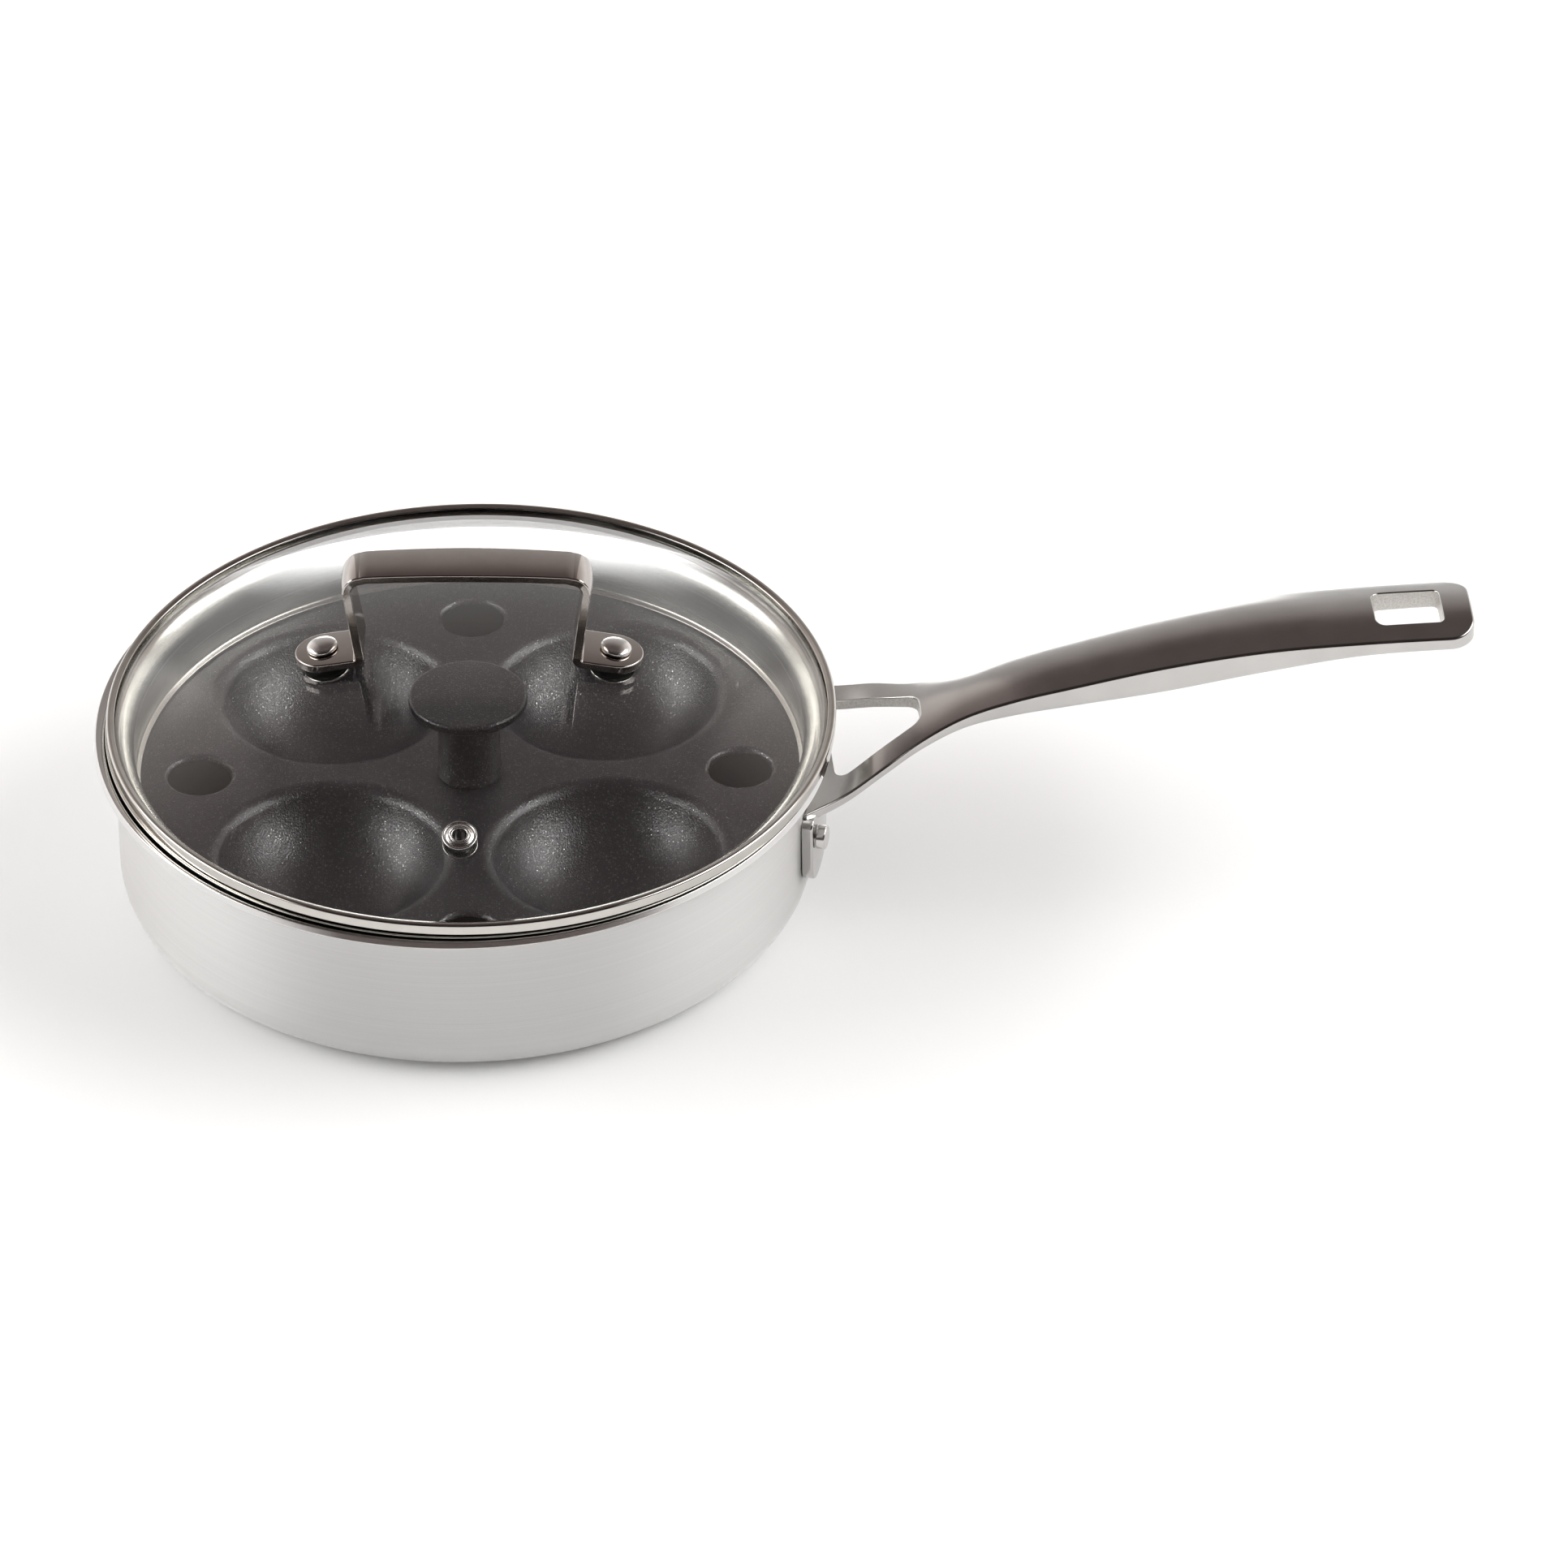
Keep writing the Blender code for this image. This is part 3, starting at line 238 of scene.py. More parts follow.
SATIN = satin_steel("satin_steel", PAN_STEEL, 0.38, *LIP_POLISH)
wall_inside = WALL_RADIUS - SHEET
lip_half = SHEET / 2.0
lip_middle = LIP_CURVE + lip_half
curve_x = WALL_RADIUS + WALL_LEAN + LIP_CURVE
curve_z = PAN_HEIGHT - lip_middle * math.sin(math.radians(LIP_TURN))
lip_x = curve_x - lip_middle * math.cos(math.radians(LIP_TURN))
lip_radius = lip_x + lip_half
pan_profile = [(0.0, SHEET)]
pan_profile += arc(wall_inside - BASE_CORNER + SHEET, BASE_CORNER, BASE_CORNER - SHEET, -90.0, 0.0, 20)
pan_profile += arc(curve_x, curve_z, LIP_CURVE + SHEET, 180.0, 180.0 - LIP_TURN, 20)
lip_lean = (lip_half + LIP_SLOPE_LOW) * math.tan(math.radians(LIP_SLOPE))
pan_profile += softened(((lip_x, PAN_HEIGHT + lip_half, 0.0),
                         (lip_radius - lip_lean, PAN_HEIGHT + lip_half, 0.00025),
                         (lip_radius, PAN_HEIGHT - LIP_SLOPE_LOW, 0.0003),
                         (lip_radius - LIP_UNDERCUT, PAN_HEIGHT - lip_half, 0.0005),
                         (lip_x, PAN_HEIGHT - lip_half, 0.0)), False, 6)[1:-1]
pan_profile += arc(curve_x, curve_z, LIP_CURVE, 180.0 - LIP_TURN, 180.0, 18)
pan_profile += arc(WALL_RADIUS - BASE_CORNER, BASE_CORNER, BASE_CORNER, 0.0, -90.0, 24)
pan_profile += [(0.0, 0.0)]
turned_piece("pan_shell", pan_profile, SATIN, "pan", "pan_body", steps=256)


# Long handle: one stainless casting, ground and polished all over but for the walls of its two openings.
# It forks at the root into a curved plate that fits the wall, and ends in a hole to hang it by.
HANDLE_TURN = math.radians(5.0)
HANDLE_STEEL = (0.55, 0.54, 0.525)
CAST_STEEL = (0.66, 0.64, 0.61)
HANDLE_REACH = 0.3040
HANDLE_TIP_CORNER = 0.0078
# Distance from the pan's axis, half width, height of the side edge over the lip, side depth, crown, hollow
HANDLE_SECTIONS = (
    (0.098, 0.0362, -0.0148, 0.0038, 0.0006, 0.0010),
    (0.112, 0.0290, -0.0131, 0.0035, 0.0009, 0.0008),
    (0.125, 0.0222, -0.0085, 0.0033, 0.0012, 0.0006),
    (0.137, 0.0152, -0.0046, 0.0036, 0.0015, 0.0006),
    (0.150, 0.0115, 0.0000, 0.0042, 0.0018, 0.0008),
    (0.165, 0.0119, 0.0050, 0.0056, 0.0021, 0.0000),
    (0.180, 0.0127, 0.0087, 0.0069, 0.0024, 0.0000),
    (0.210, 0.0137, 0.0149, 0.0090, 0.0026, 0.0000),
    (0.240, 0.0145, 0.0189, 0.0078, 0.0027, 0.0000),
    (0.270, 0.0149, 0.0200, 0.0050, 0.0027, 0.0000),
    (0.305, 0.0151, 0.0198, 0.0043, 0.0027, 0.0000),
)
HANDLE_EDGE = 0.0008
UNDER_EDGE = 0.0013
OPENING_EDGE = 0.0005
FORK_LEG = 0.0094
FORK_START = 0.1100
FORK_APEX = 0.1372
FORK_APEX_ROUND = 0.0058
FORK_CORNER = 0.0025
# Start, end and half width of the hole
HANG_HOLE = (0.2745, 0.2948, 0.0082)
UNDER_LAND = 0.0022
PLATE_HALF = 0.0386
PLATE_SHEET = 0.0034
PLATE_TOP = -0.0160
PLATE_LOW = -0.0384
PLATE_LOW_CORNER = 0.0055
PLATE_TOP_CORNER = 0.0028
FIT = 0.0003


def along_handle(x, column):
    """One measure of the handle at a distance from the pan's axis, eased between its sections."""
    rows = HANDLE_SECTIONS
    index = 0
    while index < len(rows) - 2 and x > rows[index + 1][0]:
        index += 1
    low, high = rows[index], rows[index + 1]
    before, after = rows[max(index - 1, 0)], rows[min(index + 2, len(rows) - 1)]
    run = high[0] - low[0]
    share = min(max((x - low[0]) / run, 0.0), 1.0)
    leave = (high[column] - before[column]) / (high[0] - before[0]) * run
    reach = (after[column] - low[column]) / (after[0] - low[0]) * run
    cube, square = share ** 3, share ** 2
    return ((2.0 * cube - 3.0 * square + 1.0) * low[column] + (cube - 2.0 * square + share) * leave
            + (3.0 * square - 2.0 * cube) * high[column] + (cube - square) * reach)


def inside_ring(points, ring):
    """Which flat points lie inside a closed ring of points."""
    ring = np.array(ring)
    inside = np.zeros(len(points), bool)
    for start, end in zip(ring, np.roll(ring, -1, axis=0)):
        spans = (start[1] > points[:, 1]) != (end[1] > points[:, 1])
        rise = end[1] - start[1] if end[1] != start[1] else 1e-12
        inside ^= spans & (points[:, 0] < (end[0] - start[0]) * (points[:, 1] - start[1]) / rise + start[0])
    return inside


def shaped_slab(name, rings, inner_points, front, back, rounds, place, wall_rows=3, wall_slot=None):
    """A solid with two shaped faces and rounded edges, from its flat outline and the holes in it.

    The first ring is the outline, run anticlockwise, and the others are holes, run clockwise. Front and back
    give the height of each face over a flat point, rounds gives each ring's two edge roundings, and place
    sets a flat point and its height in space, with the three directions there.
    """
    places, normals, faces, rough = [], [], [], []
    closest = 0.0007

    def slope(surface, u, v, side):
        small = 1e-5
        du = (surface(u + small, v) - surface(u - small, v)) / (2.0 * small)
        dv = (surface(u, v + small) - surface(u, v - small)) / (2.0 * small)
        return Vector((-du, -dv, 1.0)).normalized() * side

    def add(u, v, height, normal):
        where, axes = place(u, v, height)
        places.append(where)
        normals.append((axes @ normal).normalized())
        return len(places) - 1

    def band(first, second, wall=False):
        for index in range(len(first)):
            following = (index + 1) % len(first)
            faces.append((first[index], first[following], second[following], second[index]))
            rough.append(wall)

    angles = [math.radians(angle) for angle in (0.0, 18.0, 36.0, 54.0, 72.0, 90.0)]
    ends = {1.0: [], -1.0: []}
    for number, ring in enumerate(rings):
        ring = [Vector(point) for point in ring]
        outs = []
        for index, point in enumerate(ring):
            run = ring[(index + 1) % len(ring)] - ring[index - 1]
            outs.append(Vector((run.y, -run.x)).normalized())
        edges = {}
        for side, surface, rounding in ((1.0, front, rounds[number][0]), (-1.0, back, rounds[number][1])):
            loops = []
            for angle in angles:
                inward = rounding * (1.0 - math.cos(angle))
                drop = rounding * (1.0 - math.sin(angle))
                loop = []
                for point, out in zip(ring, outs):
                    u, v = point - out * inward
                    facing = (slope(surface, u, v, side) * math.sin(angle)
                              + Vector((*out, 0.0)) * math.cos(angle))
                    loop.append(add(u, v, surface(u, v) - side * drop, facing))
                loops.append(loop)
            for outer, inner in zip(loops, loops[1:]):
                band(outer, inner) if side > 0.0 else band(inner, outer)
            edges[side] = loops[0]
            ends[side].append(([tuple(point - out * rounding) for point, out in zip(ring, outs)], loops[-1]))
        last = edges[-1.0]
        for row in range(1, wall_rows + 1):
            share = row / wall_rows
            loop = edges[1.0] if row == wall_rows else [
                add(point.x, point.y, (1.0 - share) * (back(*point) + rounds[number][1])
                    + share * (front(*point) - rounds[number][0]), Vector((*out, 0.0)))
                for point, out in zip(ring, outs)]
            band(last, loop, number > 0)
            last = loop
    for side, surface in ((1.0, front), (-1.0, back)):
        flat = [point for ring, names in ends[side] for point in ring]
        names = [name for ring, loop in ends[side] for name in loop]
        bounds = np.array(flat)
        extra = np.array(inner_points)
        keep = inside_ring(extra, ends[side][0][0])
        for ring, loop in ends[side][1:]:
            keep &= ~inside_ring(extra, ring)
        gap = np.sqrt(((extra[:, None, :] - bounds[None, :, :]) ** 2).sum(axis=2)).min(axis=1)
        extra = extra[keep & (gap > closest)]
        for u, v in extra:
            names.append(add(u, v, surface(u, v), slope(surface, u, v, side)))
        flat += [tuple(point) for point in extra]
        edges = []
        start = 0
        for ring, loop in ends[side]:
            edges += [(start + index, start + (index + 1) % len(ring)) for index in range(len(ring))]
            start += len(ring)
        cut = delaunay_2d_cdt([Vector(point) for point in flat], edges, [], 0, 1e-9)
        middles = np.array([[sum(cut[0][corner][axis] for corner in face) / 3.0 for axis in (0, 1)]
                            for face in cut[2]])
        keep = inside_ring(middles, ends[side][0][0])
        for ring, loop in ends[side][1:]:
            keep &= ~inside_ring(middles, ring)
        origin = [names[source[0]] if source else add(*point, surface(*point), slope(surface, *point, side))
                  for point, source in zip(cut[0], cut[3])]
        for face, kept in zip(cut[2], keep):
            if kept:
                corners = [origin[corner] for corner in face]
                faces.append(corners if side > 0.0 else corners[::-1])
                rough.append(False)
    mesh = bpy.data.meshes.new(name)
    mesh.from_pydata(places, [], faces)
    mesh.shade_smooth()
    if wall_slot is not None:
        mesh.polygons.foreach_set("material_index", [wall_slot if wall else 0 for wall in rough])
    mesh.normals_split_custom_set_from_vertices(normals)
    mesh.update()
    return mesh


def polished_casting():
    """Polished cast steel: nearly a mirror, with faint cloud in its gloss and fine polishing hairlines."""
    finish, tree, shader = finish_of("polished_casting", HANDLE_STEEL, 1.0, 0.12)
    place, x, y, z = spot(tree)
    cloud = grain(tree, place, 90.0, 4.0)
    along, across = 60.0, 2600.0
    hair = node_of(tree, "CombineXYZ", X=maths(tree, "MULTIPLY", x, along), Y=maths(tree, "MULTIPLY", y, across),
                   Z=maths(tree, "MULTIPLY", z, across)).outputs[0]
    lines = grain(tree, hair, 1.0, 2.0)
    gloss = maths(tree, "ADD", spread(tree, cloud, 0.11, 0.16), spread(tree, lines, 0.0, 0.03))
    join(tree, gloss, shader.inputs["Roughness"])
    join(tree, scaled(tree, HANDLE_STEEL, spread(tree, cloud, 0.96, 1.04)), shader.inputs["Base Color"])
    raised(tree, shader, lines, 0.04, 0.00004)
    return finish


def rough_casting():
    """The unpolished walls of the handle's openings: bright, blasted steel with a coarse sandy grain."""
    finish, tree, shader = finish_of("rough_casting", CAST_STEEL, 1.0, 0.45)
    place = spot(tree)[0]
    sand = grain(tree, place, 2200.0, 3.0, 0.65)
    pits = grain(tree, place, 1700.0, 4.0, 0.65)
    join(tree, spread(tree, sand, 0.34, 0.55), shader.inputs["Roughness"])
    tone = ranged(tree, pits, 0.34, 0.60, 0.84, 1.10)
    join(tree, scaled(tree, CAST_STEEL, tone), shader.inputs["Base Color"])
    raised(tree, shader, maths(tree, "ADD", sand, pits), 0.8, 0.0003)
    return finish


def handle_half(x):
    """Half width of the handle, drawn in round the tip's corners."""
    into = x - (HANDLE_REACH - HANDLE_TIP_CORNER)
    trim = HANDLE_TIP_CORNER - math.sqrt(max(HANDLE_TIP_CORNER ** 2 - into ** 2, 0.0)) if into > 0.0 else 0.0
    return along_handle(x, 1) - trim


def handle_top(x, y):
    """Height of the crowned top."""
    return along_handle(x, 2) + along_handle(x, 4) * (1.0 - (y / along_handle(x, 1)) ** 2)


def handle_under(x, y):
    """Height of the underside, hollowed between a flat land along each edge."""
    half = along_handle(x, 1)
    share = min(max((half - UNDER_LAND - abs(y)) / (half / 2.0 - UNDER_LAND), 0.0), 1.0)
    return along_handle(x, 2) - along_handle(x, 3) + along_handle(x, 5) * share * share * (3.0 - 2.0 * share)


def handle_outline():
    """The handle from above: from the pan's wall along one side, round the tip and back."""
    wall = WALL_RADIUS + FIT
    # The side meets the wall between these two distances from the axis, and halving finds where.
    low, high = 0.085, wall
    for halving in range(40):
        middle = (low + high) / 2.0
        low, high = (middle, high) if math.hypot(middle, handle_half(middle)) < wall else (low, middle)
    end = HANDLE_REACH - HANDLE_TIP_CORNER
    count = 170
    stations = [low + (end - low) * index / count for index in range(count)]
    side = [(x, -handle_half(x)) for x in stations]
    tip = arc(end, HANDLE_TIP_CORNER - handle_half(end), HANDLE_TIP_CORNER, -90.0, 0.0, 12)
    face = handle_half(end) - HANDLE_TIP_CORNER
    across = [(HANDLE_REACH, -face + 2.0 * face * index / 12) for index in range(1, 12)]
    right = side + tip
    half_turn = math.atan2(handle_half(low), low)
    against = [(wall * math.cos(angle), wall * math.sin(angle))
               for angle in (half_turn - 2.0 * half_turn * index / 40 for index in range(1, 40))]
    return right + across + [(x, -y) for x, y in reversed(right)] + against


def softened_ring(corners, spacing=0.0009):
    """A closed ring with rounded corners and evenly spaced points on its straight sides."""
    coarse = softened(corners, True, 8)
    ring = []
    for start, end in zip(coarse, coarse[1:] + coarse[:1]):
        run = math.dist(start, end)
        count = max(round(run / spacing), 1)
        ring += [(start[0] + (end[0] - start[0]) * index / count, start[1] + (end[1] - start[1]) * index / count)
                 for index in range(count)]
    return ring


POLISHED = polished_casting()
CAST = rough_casting()
root_half = along_handle(FORK_START, 1) - FORK_LEG
fork_ring = softened_ring(((FORK_START, -root_half, FORK_CORNER), (FORK_START, root_half, FORK_CORNER),
                           (FORK_APEX, FORK_APEX_ROUND, FORK_APEX_ROUND),
                           (FORK_APEX, -FORK_APEX_ROUND, FORK_APEX_ROUND)))
hole_start, hole_end, hole_half = HANG_HOLE
hang_ring = softened_ring(((hole_start, -hole_half, 0.0030), (hole_start, hole_half, 0.0030),
                           (hole_end, hole_half, 0.0020), (hole_end, -hole_half, 0.0016)))
handle_points = []
stations, lanes = 140, 22
for station in range(stations):
    x = 0.099 + (HANDLE_REACH - 0.0995) * station / (stations - 1)
    handle_points += [(x, handle_half(x) * (-1.0 + 2.0 * lane / lanes)) for lane in range(1, lanes)]
handle_place = Matrix.Translation((0.0, 0.0, PAN_HEIGHT)) @ Matrix.Rotation(HANDLE_TURN, 4, "Z")
opening_edges = (OPENING_EDGE, OPENING_EDGE)
casting = shaped_slab("handle_casting", [handle_outline(), fork_ring, hang_ring], handle_points, handle_top,
                      handle_under, ((HANDLE_EDGE, UNDER_EDGE), opening_edges, opening_edges),
                      lambda u, v, height: (Vector((u, v, height)), Matrix.Identity(3)), 5, 1)

plate_inner = WALL_RADIUS + FIT
plate_middle = plate_inner + PLATE_SHEET / 2.0


def on_wall(u, v, height):
    """Wraps the flat plate round the pan's wall."""
    turn = u / plate_middle
    out = Vector((math.cos(turn), math.sin(turn), 0.0))
    sideways = Vector((-math.sin(turn), math.cos(turn), 0.0))
    radius = plate_middle + height
    axes = Matrix((sideways, Vector((0.0, 0.0, 1.0)), out)).transposed()
    return out * radius + Vector((0.0, 0.0, v)), axes


plate_half = plate_middle * math.asin(PLATE_HALF / plate_middle)
plate_ring = softened_ring(((-plate_half, PLATE_LOW, PLATE_LOW_CORNER), (plate_half, PLATE_LOW, PLATE_LOW_CORNER),
                            (plate_half, PLATE_TOP, PLATE_TOP_CORNER),
                            (-plate_half, PLATE_TOP, PLATE_TOP_CORNER)), 0.0011)
plate_points = [(-plate_half + 2.0 * plate_half * column / 50, PLATE_LOW + (PLATE_TOP - PLATE_LOW) * row / 14)
                for column in range(1, 50) for row in range(1, 14)]
plate = shaped_slab("handle_plate", [plate_ring], plate_points, lambda u, v: PLATE_SHEET / 2.0,
                    lambda u, v: -PLATE_SHEET / 2.0, ((0.0007, 0.0002),), on_wall)
for mesh, label in ((casting, "handle_casting"), (plate, "handle_plate")):
    piece = fitted(label, mesh, POLISHED, "pan", "long_handle", handle_place)
    piece.modifiers.clear()
    mesh.materials.append(CAST)


# Handle rivets: two steel rivets through the plate and the wall, with flat drawn heads outside and
# low domes closed down inside the pan.
RIVET_STEEL = (0.66, 0.64, 0.62)
RIVET_HEAD = 0.0037
RIVET_RISE = 0.0028
RIVET_SHANK = 0.0025
RIVET_INSIDE = 0.0036
RIVET_INSIDE_RISE = 0.0016
RIVET_DROP = 0.0238
RIVET_OFFSET = 0.0340


def bright_steel(name, colour, roughness, cloud_size=160.0):
    """Mirror steel with soft cloud in the polish and faint wheel marks round the axis."""
    finish, tree, shader = finish_of(name, colour, 1.0, roughness)
    marks = ring_marks(tree, 0.00016, 25.0)
    cloud = grain(tree, spot(tree)[0], cloud_size)
    gloss = maths(tree, "ADD", spread(tree, marks, roughness * 0.8, roughness * 1.15),
                  spread(tree, cloud, 0.0, 0.03))
    join(tree, gloss, shader.inputs["Roughness"])
    join(tree, scaled(tree, colour, spread(tree, cloud, 0.95, 1.04)), shader.inputs["Base Color"])
    raised(tree, shader, marks, 0.02, 0.00002)
    return finish


def domed(radius, base, rise, angles):
    """A low dome's profile: its radius and height at each angle up from its rim."""
    return [(radius * math.cos(math.radians(angle)), base + rise * math.sin(math.radians(angle)))
            for angle in angles]


RIVETED = bright_steel("drawn_rivet_steel", RIVET_STEEL, 0.20)
plate_outer = plate_inner + PLATE_SHEET
rivet_base = plate_outer + FIT
rivet_top = rivet_base + RIVET_RISE
inner_face = wall_inside - FIT
rivet_profile = softened(((0.0, rivet_top, 0.0), (RIVET_HEAD, rivet_top, 0.0006), (RIVET_HEAD, rivet_base, 0.0002),
                          (RIVET_SHANK, rivet_base, 0.0), (RIVET_SHANK, inner_face, 0.0),
                          (RIVET_INSIDE, inner_face, 0.0002)), False)
rivet_profile += domed(RIVET_INSIDE, inner_face, -RIVET_INSIDE_RISE, range(6, 90, 6))
rivet_profile += [(0.0, inner_face - RIVET_INSIDE_RISE)]
for side, end in ((-1.0, "front"), (1.0, "rear")):
    turn = HANDLE_TURN + side * math.asin(RIVET_OFFSET / plate_outer)
    axis = (Matrix.Translation((0.0, 0.0, PAN_HEIGHT - RIVET_DROP)) @ Matrix.Rotation(turn, 4, "Z")
            @ Matrix.Rotation(math.pi / 2.0, 4, "Y"))
    turned_piece("plate_rivet_" + end, rivet_profile, RIVETED, "pan", "handle_rivet_" + end,
                 steps=64, place=axis)


# Insert ring: spun from thin bright sheet. It hangs by its flange on the pan's lip and grips the tray
# between two rolled beads.
RING_WALL = 0.1003
RING_SHEET = 0.0006
RING_FLARE = 0.0066
RING_EDGE = 0.1087
RING_BEAD = 0.0014
BEAD_FADE = 0.0040
RING_STEEL = (0.66, 0.64, 0.60)
INSERT_SHIFT = 0.0015
TRAY_DROP = 0.0170
TRAY_SHEET = 0.0020
insert_place = Matrix.Translation((INSERT_SHIFT, 0.0, PAN_HEIGHT))
flange_low = lip_half + FIT
flange_top = flange_low + RING_SHEET
ring_inside = RING_WALL - RING_SHEET
bead_inside = ring_inside - RING_BEAD
bead_top = -TRAY_DROP + FIT
bead_low = -TRAY_DROP - TRAY_SHEET - FIT
ring_profile = arc(RING_WALL + RING_FLARE, flange_low - RING_FLARE, RING_FLARE + RING_SHEET, 180.0, 90.0, 18)
ring_profile += arc(RING_EDGE, flange_low + RING_SHEET / 2.0, RING_SHEET / 2.0, 90.0, -90.0, 8)
ring_profile += arc(RING_WALL + RING_FLARE, flange_low - RING_FLARE, RING_FLARE, 90.0, 180.0, 18)
ring_profile += softened(((RING_WALL, bead_low, 0.0), (RING_WALL, bead_low - RING_SHEET, 0.0006),
                          (bead_inside, bead_low - RING_SHEET, 0.00025), (bead_inside, bead_low, 0.00025),
                          (ring_inside, bead_low, 0.0002), (ring_inside, bead_top, 0.0002),
                          (bead_inside, bead_top, 0.0003), (bead_inside, bead_top + RING_SHEET, 0.0003),
                          (ring_inside, bead_top + RING_SHEET * 2.2, 0.0010),
                          (ring_inside, bead_top + BEAD_FADE, 0.0)), False)
SPUN = satin_steel("spun_ring_steel", RING_STEEL, 0.20, flange_low - 0.0014, flange_low - 0.0003)
turned_piece("hanging_ring", ring_profile, SPUN, "insert", "insert_ring", True, 224,
             insert_place)


# Egg tray: pressed aluminium sheet with four egg cups and four steam holes with rolled edges.
# All of it has a dark non-stick coating with a fine speckle.
TRAY_EDGE = 0.0994
CUP_EDGE_WEB = 0.0039
CUP_MIDDLE_WEB = 0.0063
CUP_SHOULDER = 0.0055
CUP_SLOPE = 62.0
CUP_FLAT = 0.0030
STEAM_HOLE = 0.0093
STEAM_ROLL = 0.0018
STEAM_CENTRE = 0.0808
SCREW_HOLE = 0.0029
COATING_COLOUR = (0.044, 0.036, 0.045)
FLAKE_COLOUR = (0.34, 0.33, 0.325)


def blended(tree, share, first, second):
    """One colour going over into another, by a share. A Mix node takes its two colours as inputs 6 and 7."""
    made = node_of(tree, "Mix", Factor=share)
    made.data_type = "RGBA"
    join(tree, first, made.inputs[6])
    join(tree, second, made.inputs[7])
    return made.outputs[2]


def speckled_coating():
    """Dark non-stick coating: a fine orange-peel skin with metal flakes, some bright and some faint."""
    finish, tree, shader = finish_of("speckled_coating", COATING_COLOUR, 0.0, 0.42)
    place = spot(tree)[0]
    peel = grain(tree, place, 1900.0, 1.0, 0.5)
    dots = node_of(tree, "TexVoronoi", Vector=place, Scale=1500.0)
    shining = node_of(tree, "SeparateColor", Color=dots.outputs["Color"]).outputs[0]
    bright = maths(tree, "MULTIPLY", ranged(tree, dots.outputs["Distance"], 0.24, 0.46, 1.0, 0.0),
                    ranged(tree, shining, 0.30, 1.0, 0.0, 1.0))
    tone = blended(tree, bright, (*COATING_COLOUR, 1.0), (*FLAKE_COLOUR, 1.0))
    join(tree, tone, shader.inputs["Base Color"])
    join(tree, bright, shader.inputs["Metallic"])
    gloss = maths(tree, "SUBTRACT", spread(tree, peel, 0.28, 0.42), maths(tree, "MULTIPLY", bright, 0.10))
    join(tree, gloss, shader.inputs["Roughness"])
    shader.inputs["Specular IOR Level"].default_value = 1.0
    raised(tree, shader, peel, 1.0, 0.00015)
    return finish


COATED = speckled_coating()
diagonal = math.sqrt(2.0)
cup_radius = (TRAY_EDGE - CUP_EDGE_WEB - CUP_MIDDLE_WEB / diagonal) / (1.0 + diagonal)
cup_centre = TRAY_EDGE - CUP_EDGE_WEB - cup_radius
cup_profile = arc(cup_radius, -CUP_SHOULDER, CUP_SHOULDER, 90.0, 90.0 + CUP_SLOPE, 16)
bowl_start_r, bowl_start_z = cup_profile[-1]
bowl = (bowl_start_r - CUP_FLAT) / math.sin(math.radians(CUP_SLOPE))
cup_profile += arc(CUP_FLAT, bowl_start_z + bowl * math.cos(math.radians(CUP_SLOPE)), bowl,
                   CUP_SLOPE - 90.0, -90.0, 34)[1:]
cup_profile += [(CUP_FLAT * 0.5, cup_profile[-1][1])]
steam_profile = arc(STEAM_HOLE + STEAM_ROLL, -STEAM_ROLL, STEAM_ROLL, 90.0, 180.0, 9)


def lathe_rings(shell, centre, profile, steps):
    """Rings of a turned profile round a place on the tray, joined by faces."""
    rings = []
    for radius, height in profile:
        rings.append([shell.verts.new((centre[0] + radius * math.cos(2.0 * math.pi * step / steps),
                                       centre[1] + radius * math.sin(2.0 * math.pi * step / steps), height))
                      for step in range(steps)])
    for outer, inner in zip(rings, rings[1:]):
        for step in range(steps):
            following = (step + 1) % steps
            shell.faces.new((outer[step], outer[following], inner[following], inner[step]))
    return rings


shell = bmesh.new()
tray_loops = [lathe_rings(shell, (0.0, 0.0), [(TRAY_EDGE, 0.0), (TRAY_EDGE - 0.0006, 0.0)], 240)[-1]]
for middle in arc(0.0, 0.0, cup_centre, 45.0, 315.0, 3):
    cup_rings = lathe_rings(shell, middle, cup_profile, 128)
    shell.faces.new(cup_rings[-1])
    tray_loops.append(cup_rings[0])
for middle in arc(0.0, 0.0, STEAM_CENTRE, 0.0, 270.0, 3):
    tray_loops.append(lathe_rings(shell, middle, steam_profile, 64)[0])
tray_loops.append(lathe_rings(shell, (0.0, 0.0), [(0.0040, 0.0), (SCREW_HOLE, 0.0)], 48)[0])
bounding = []
for loop in tray_loops:
    for index, point in enumerate(loop):
        following = loop[(index + 1) % len(loop)]
        bounding.append(shell.edges.get((point, following)) or shell.edges.new((point, following)))
bmesh.ops.triangle_fill(shell, use_beauty=True, edges=bounding, normal=(0.0, 0.0, 1.0))
bmesh.ops.recalc_face_normals(shell, faces=shell.faces)
if sum(face.normal.z * face.calc_area() for face in shell.faces) < 0.0:
    bmesh.ops.reverse_faces(shell, faces=shell.faces)
tray_mesh = bpy.data.meshes.new("egg_cup_tray")
shell.to_mesh(tray_mesh)
shell.free()
tray_mesh.shade_smooth()
tray_place = insert_place @ Matrix.Translation((0.0, 0.0, -TRAY_DROP))
tray = fitted("egg_cup_tray", tray_mesh, COATED, "insert", "egg_tray", tray_place)
thickness = tray.modifiers.new("sheet_thickness", "SOLIDIFY")
thickness.thickness = TRAY_SHEET
thickness.offset = -1.0
thickness.use_even_offset = True
# The sheet gets its thickness before its shading is evened.
tray.modifiers.move(1, 0)


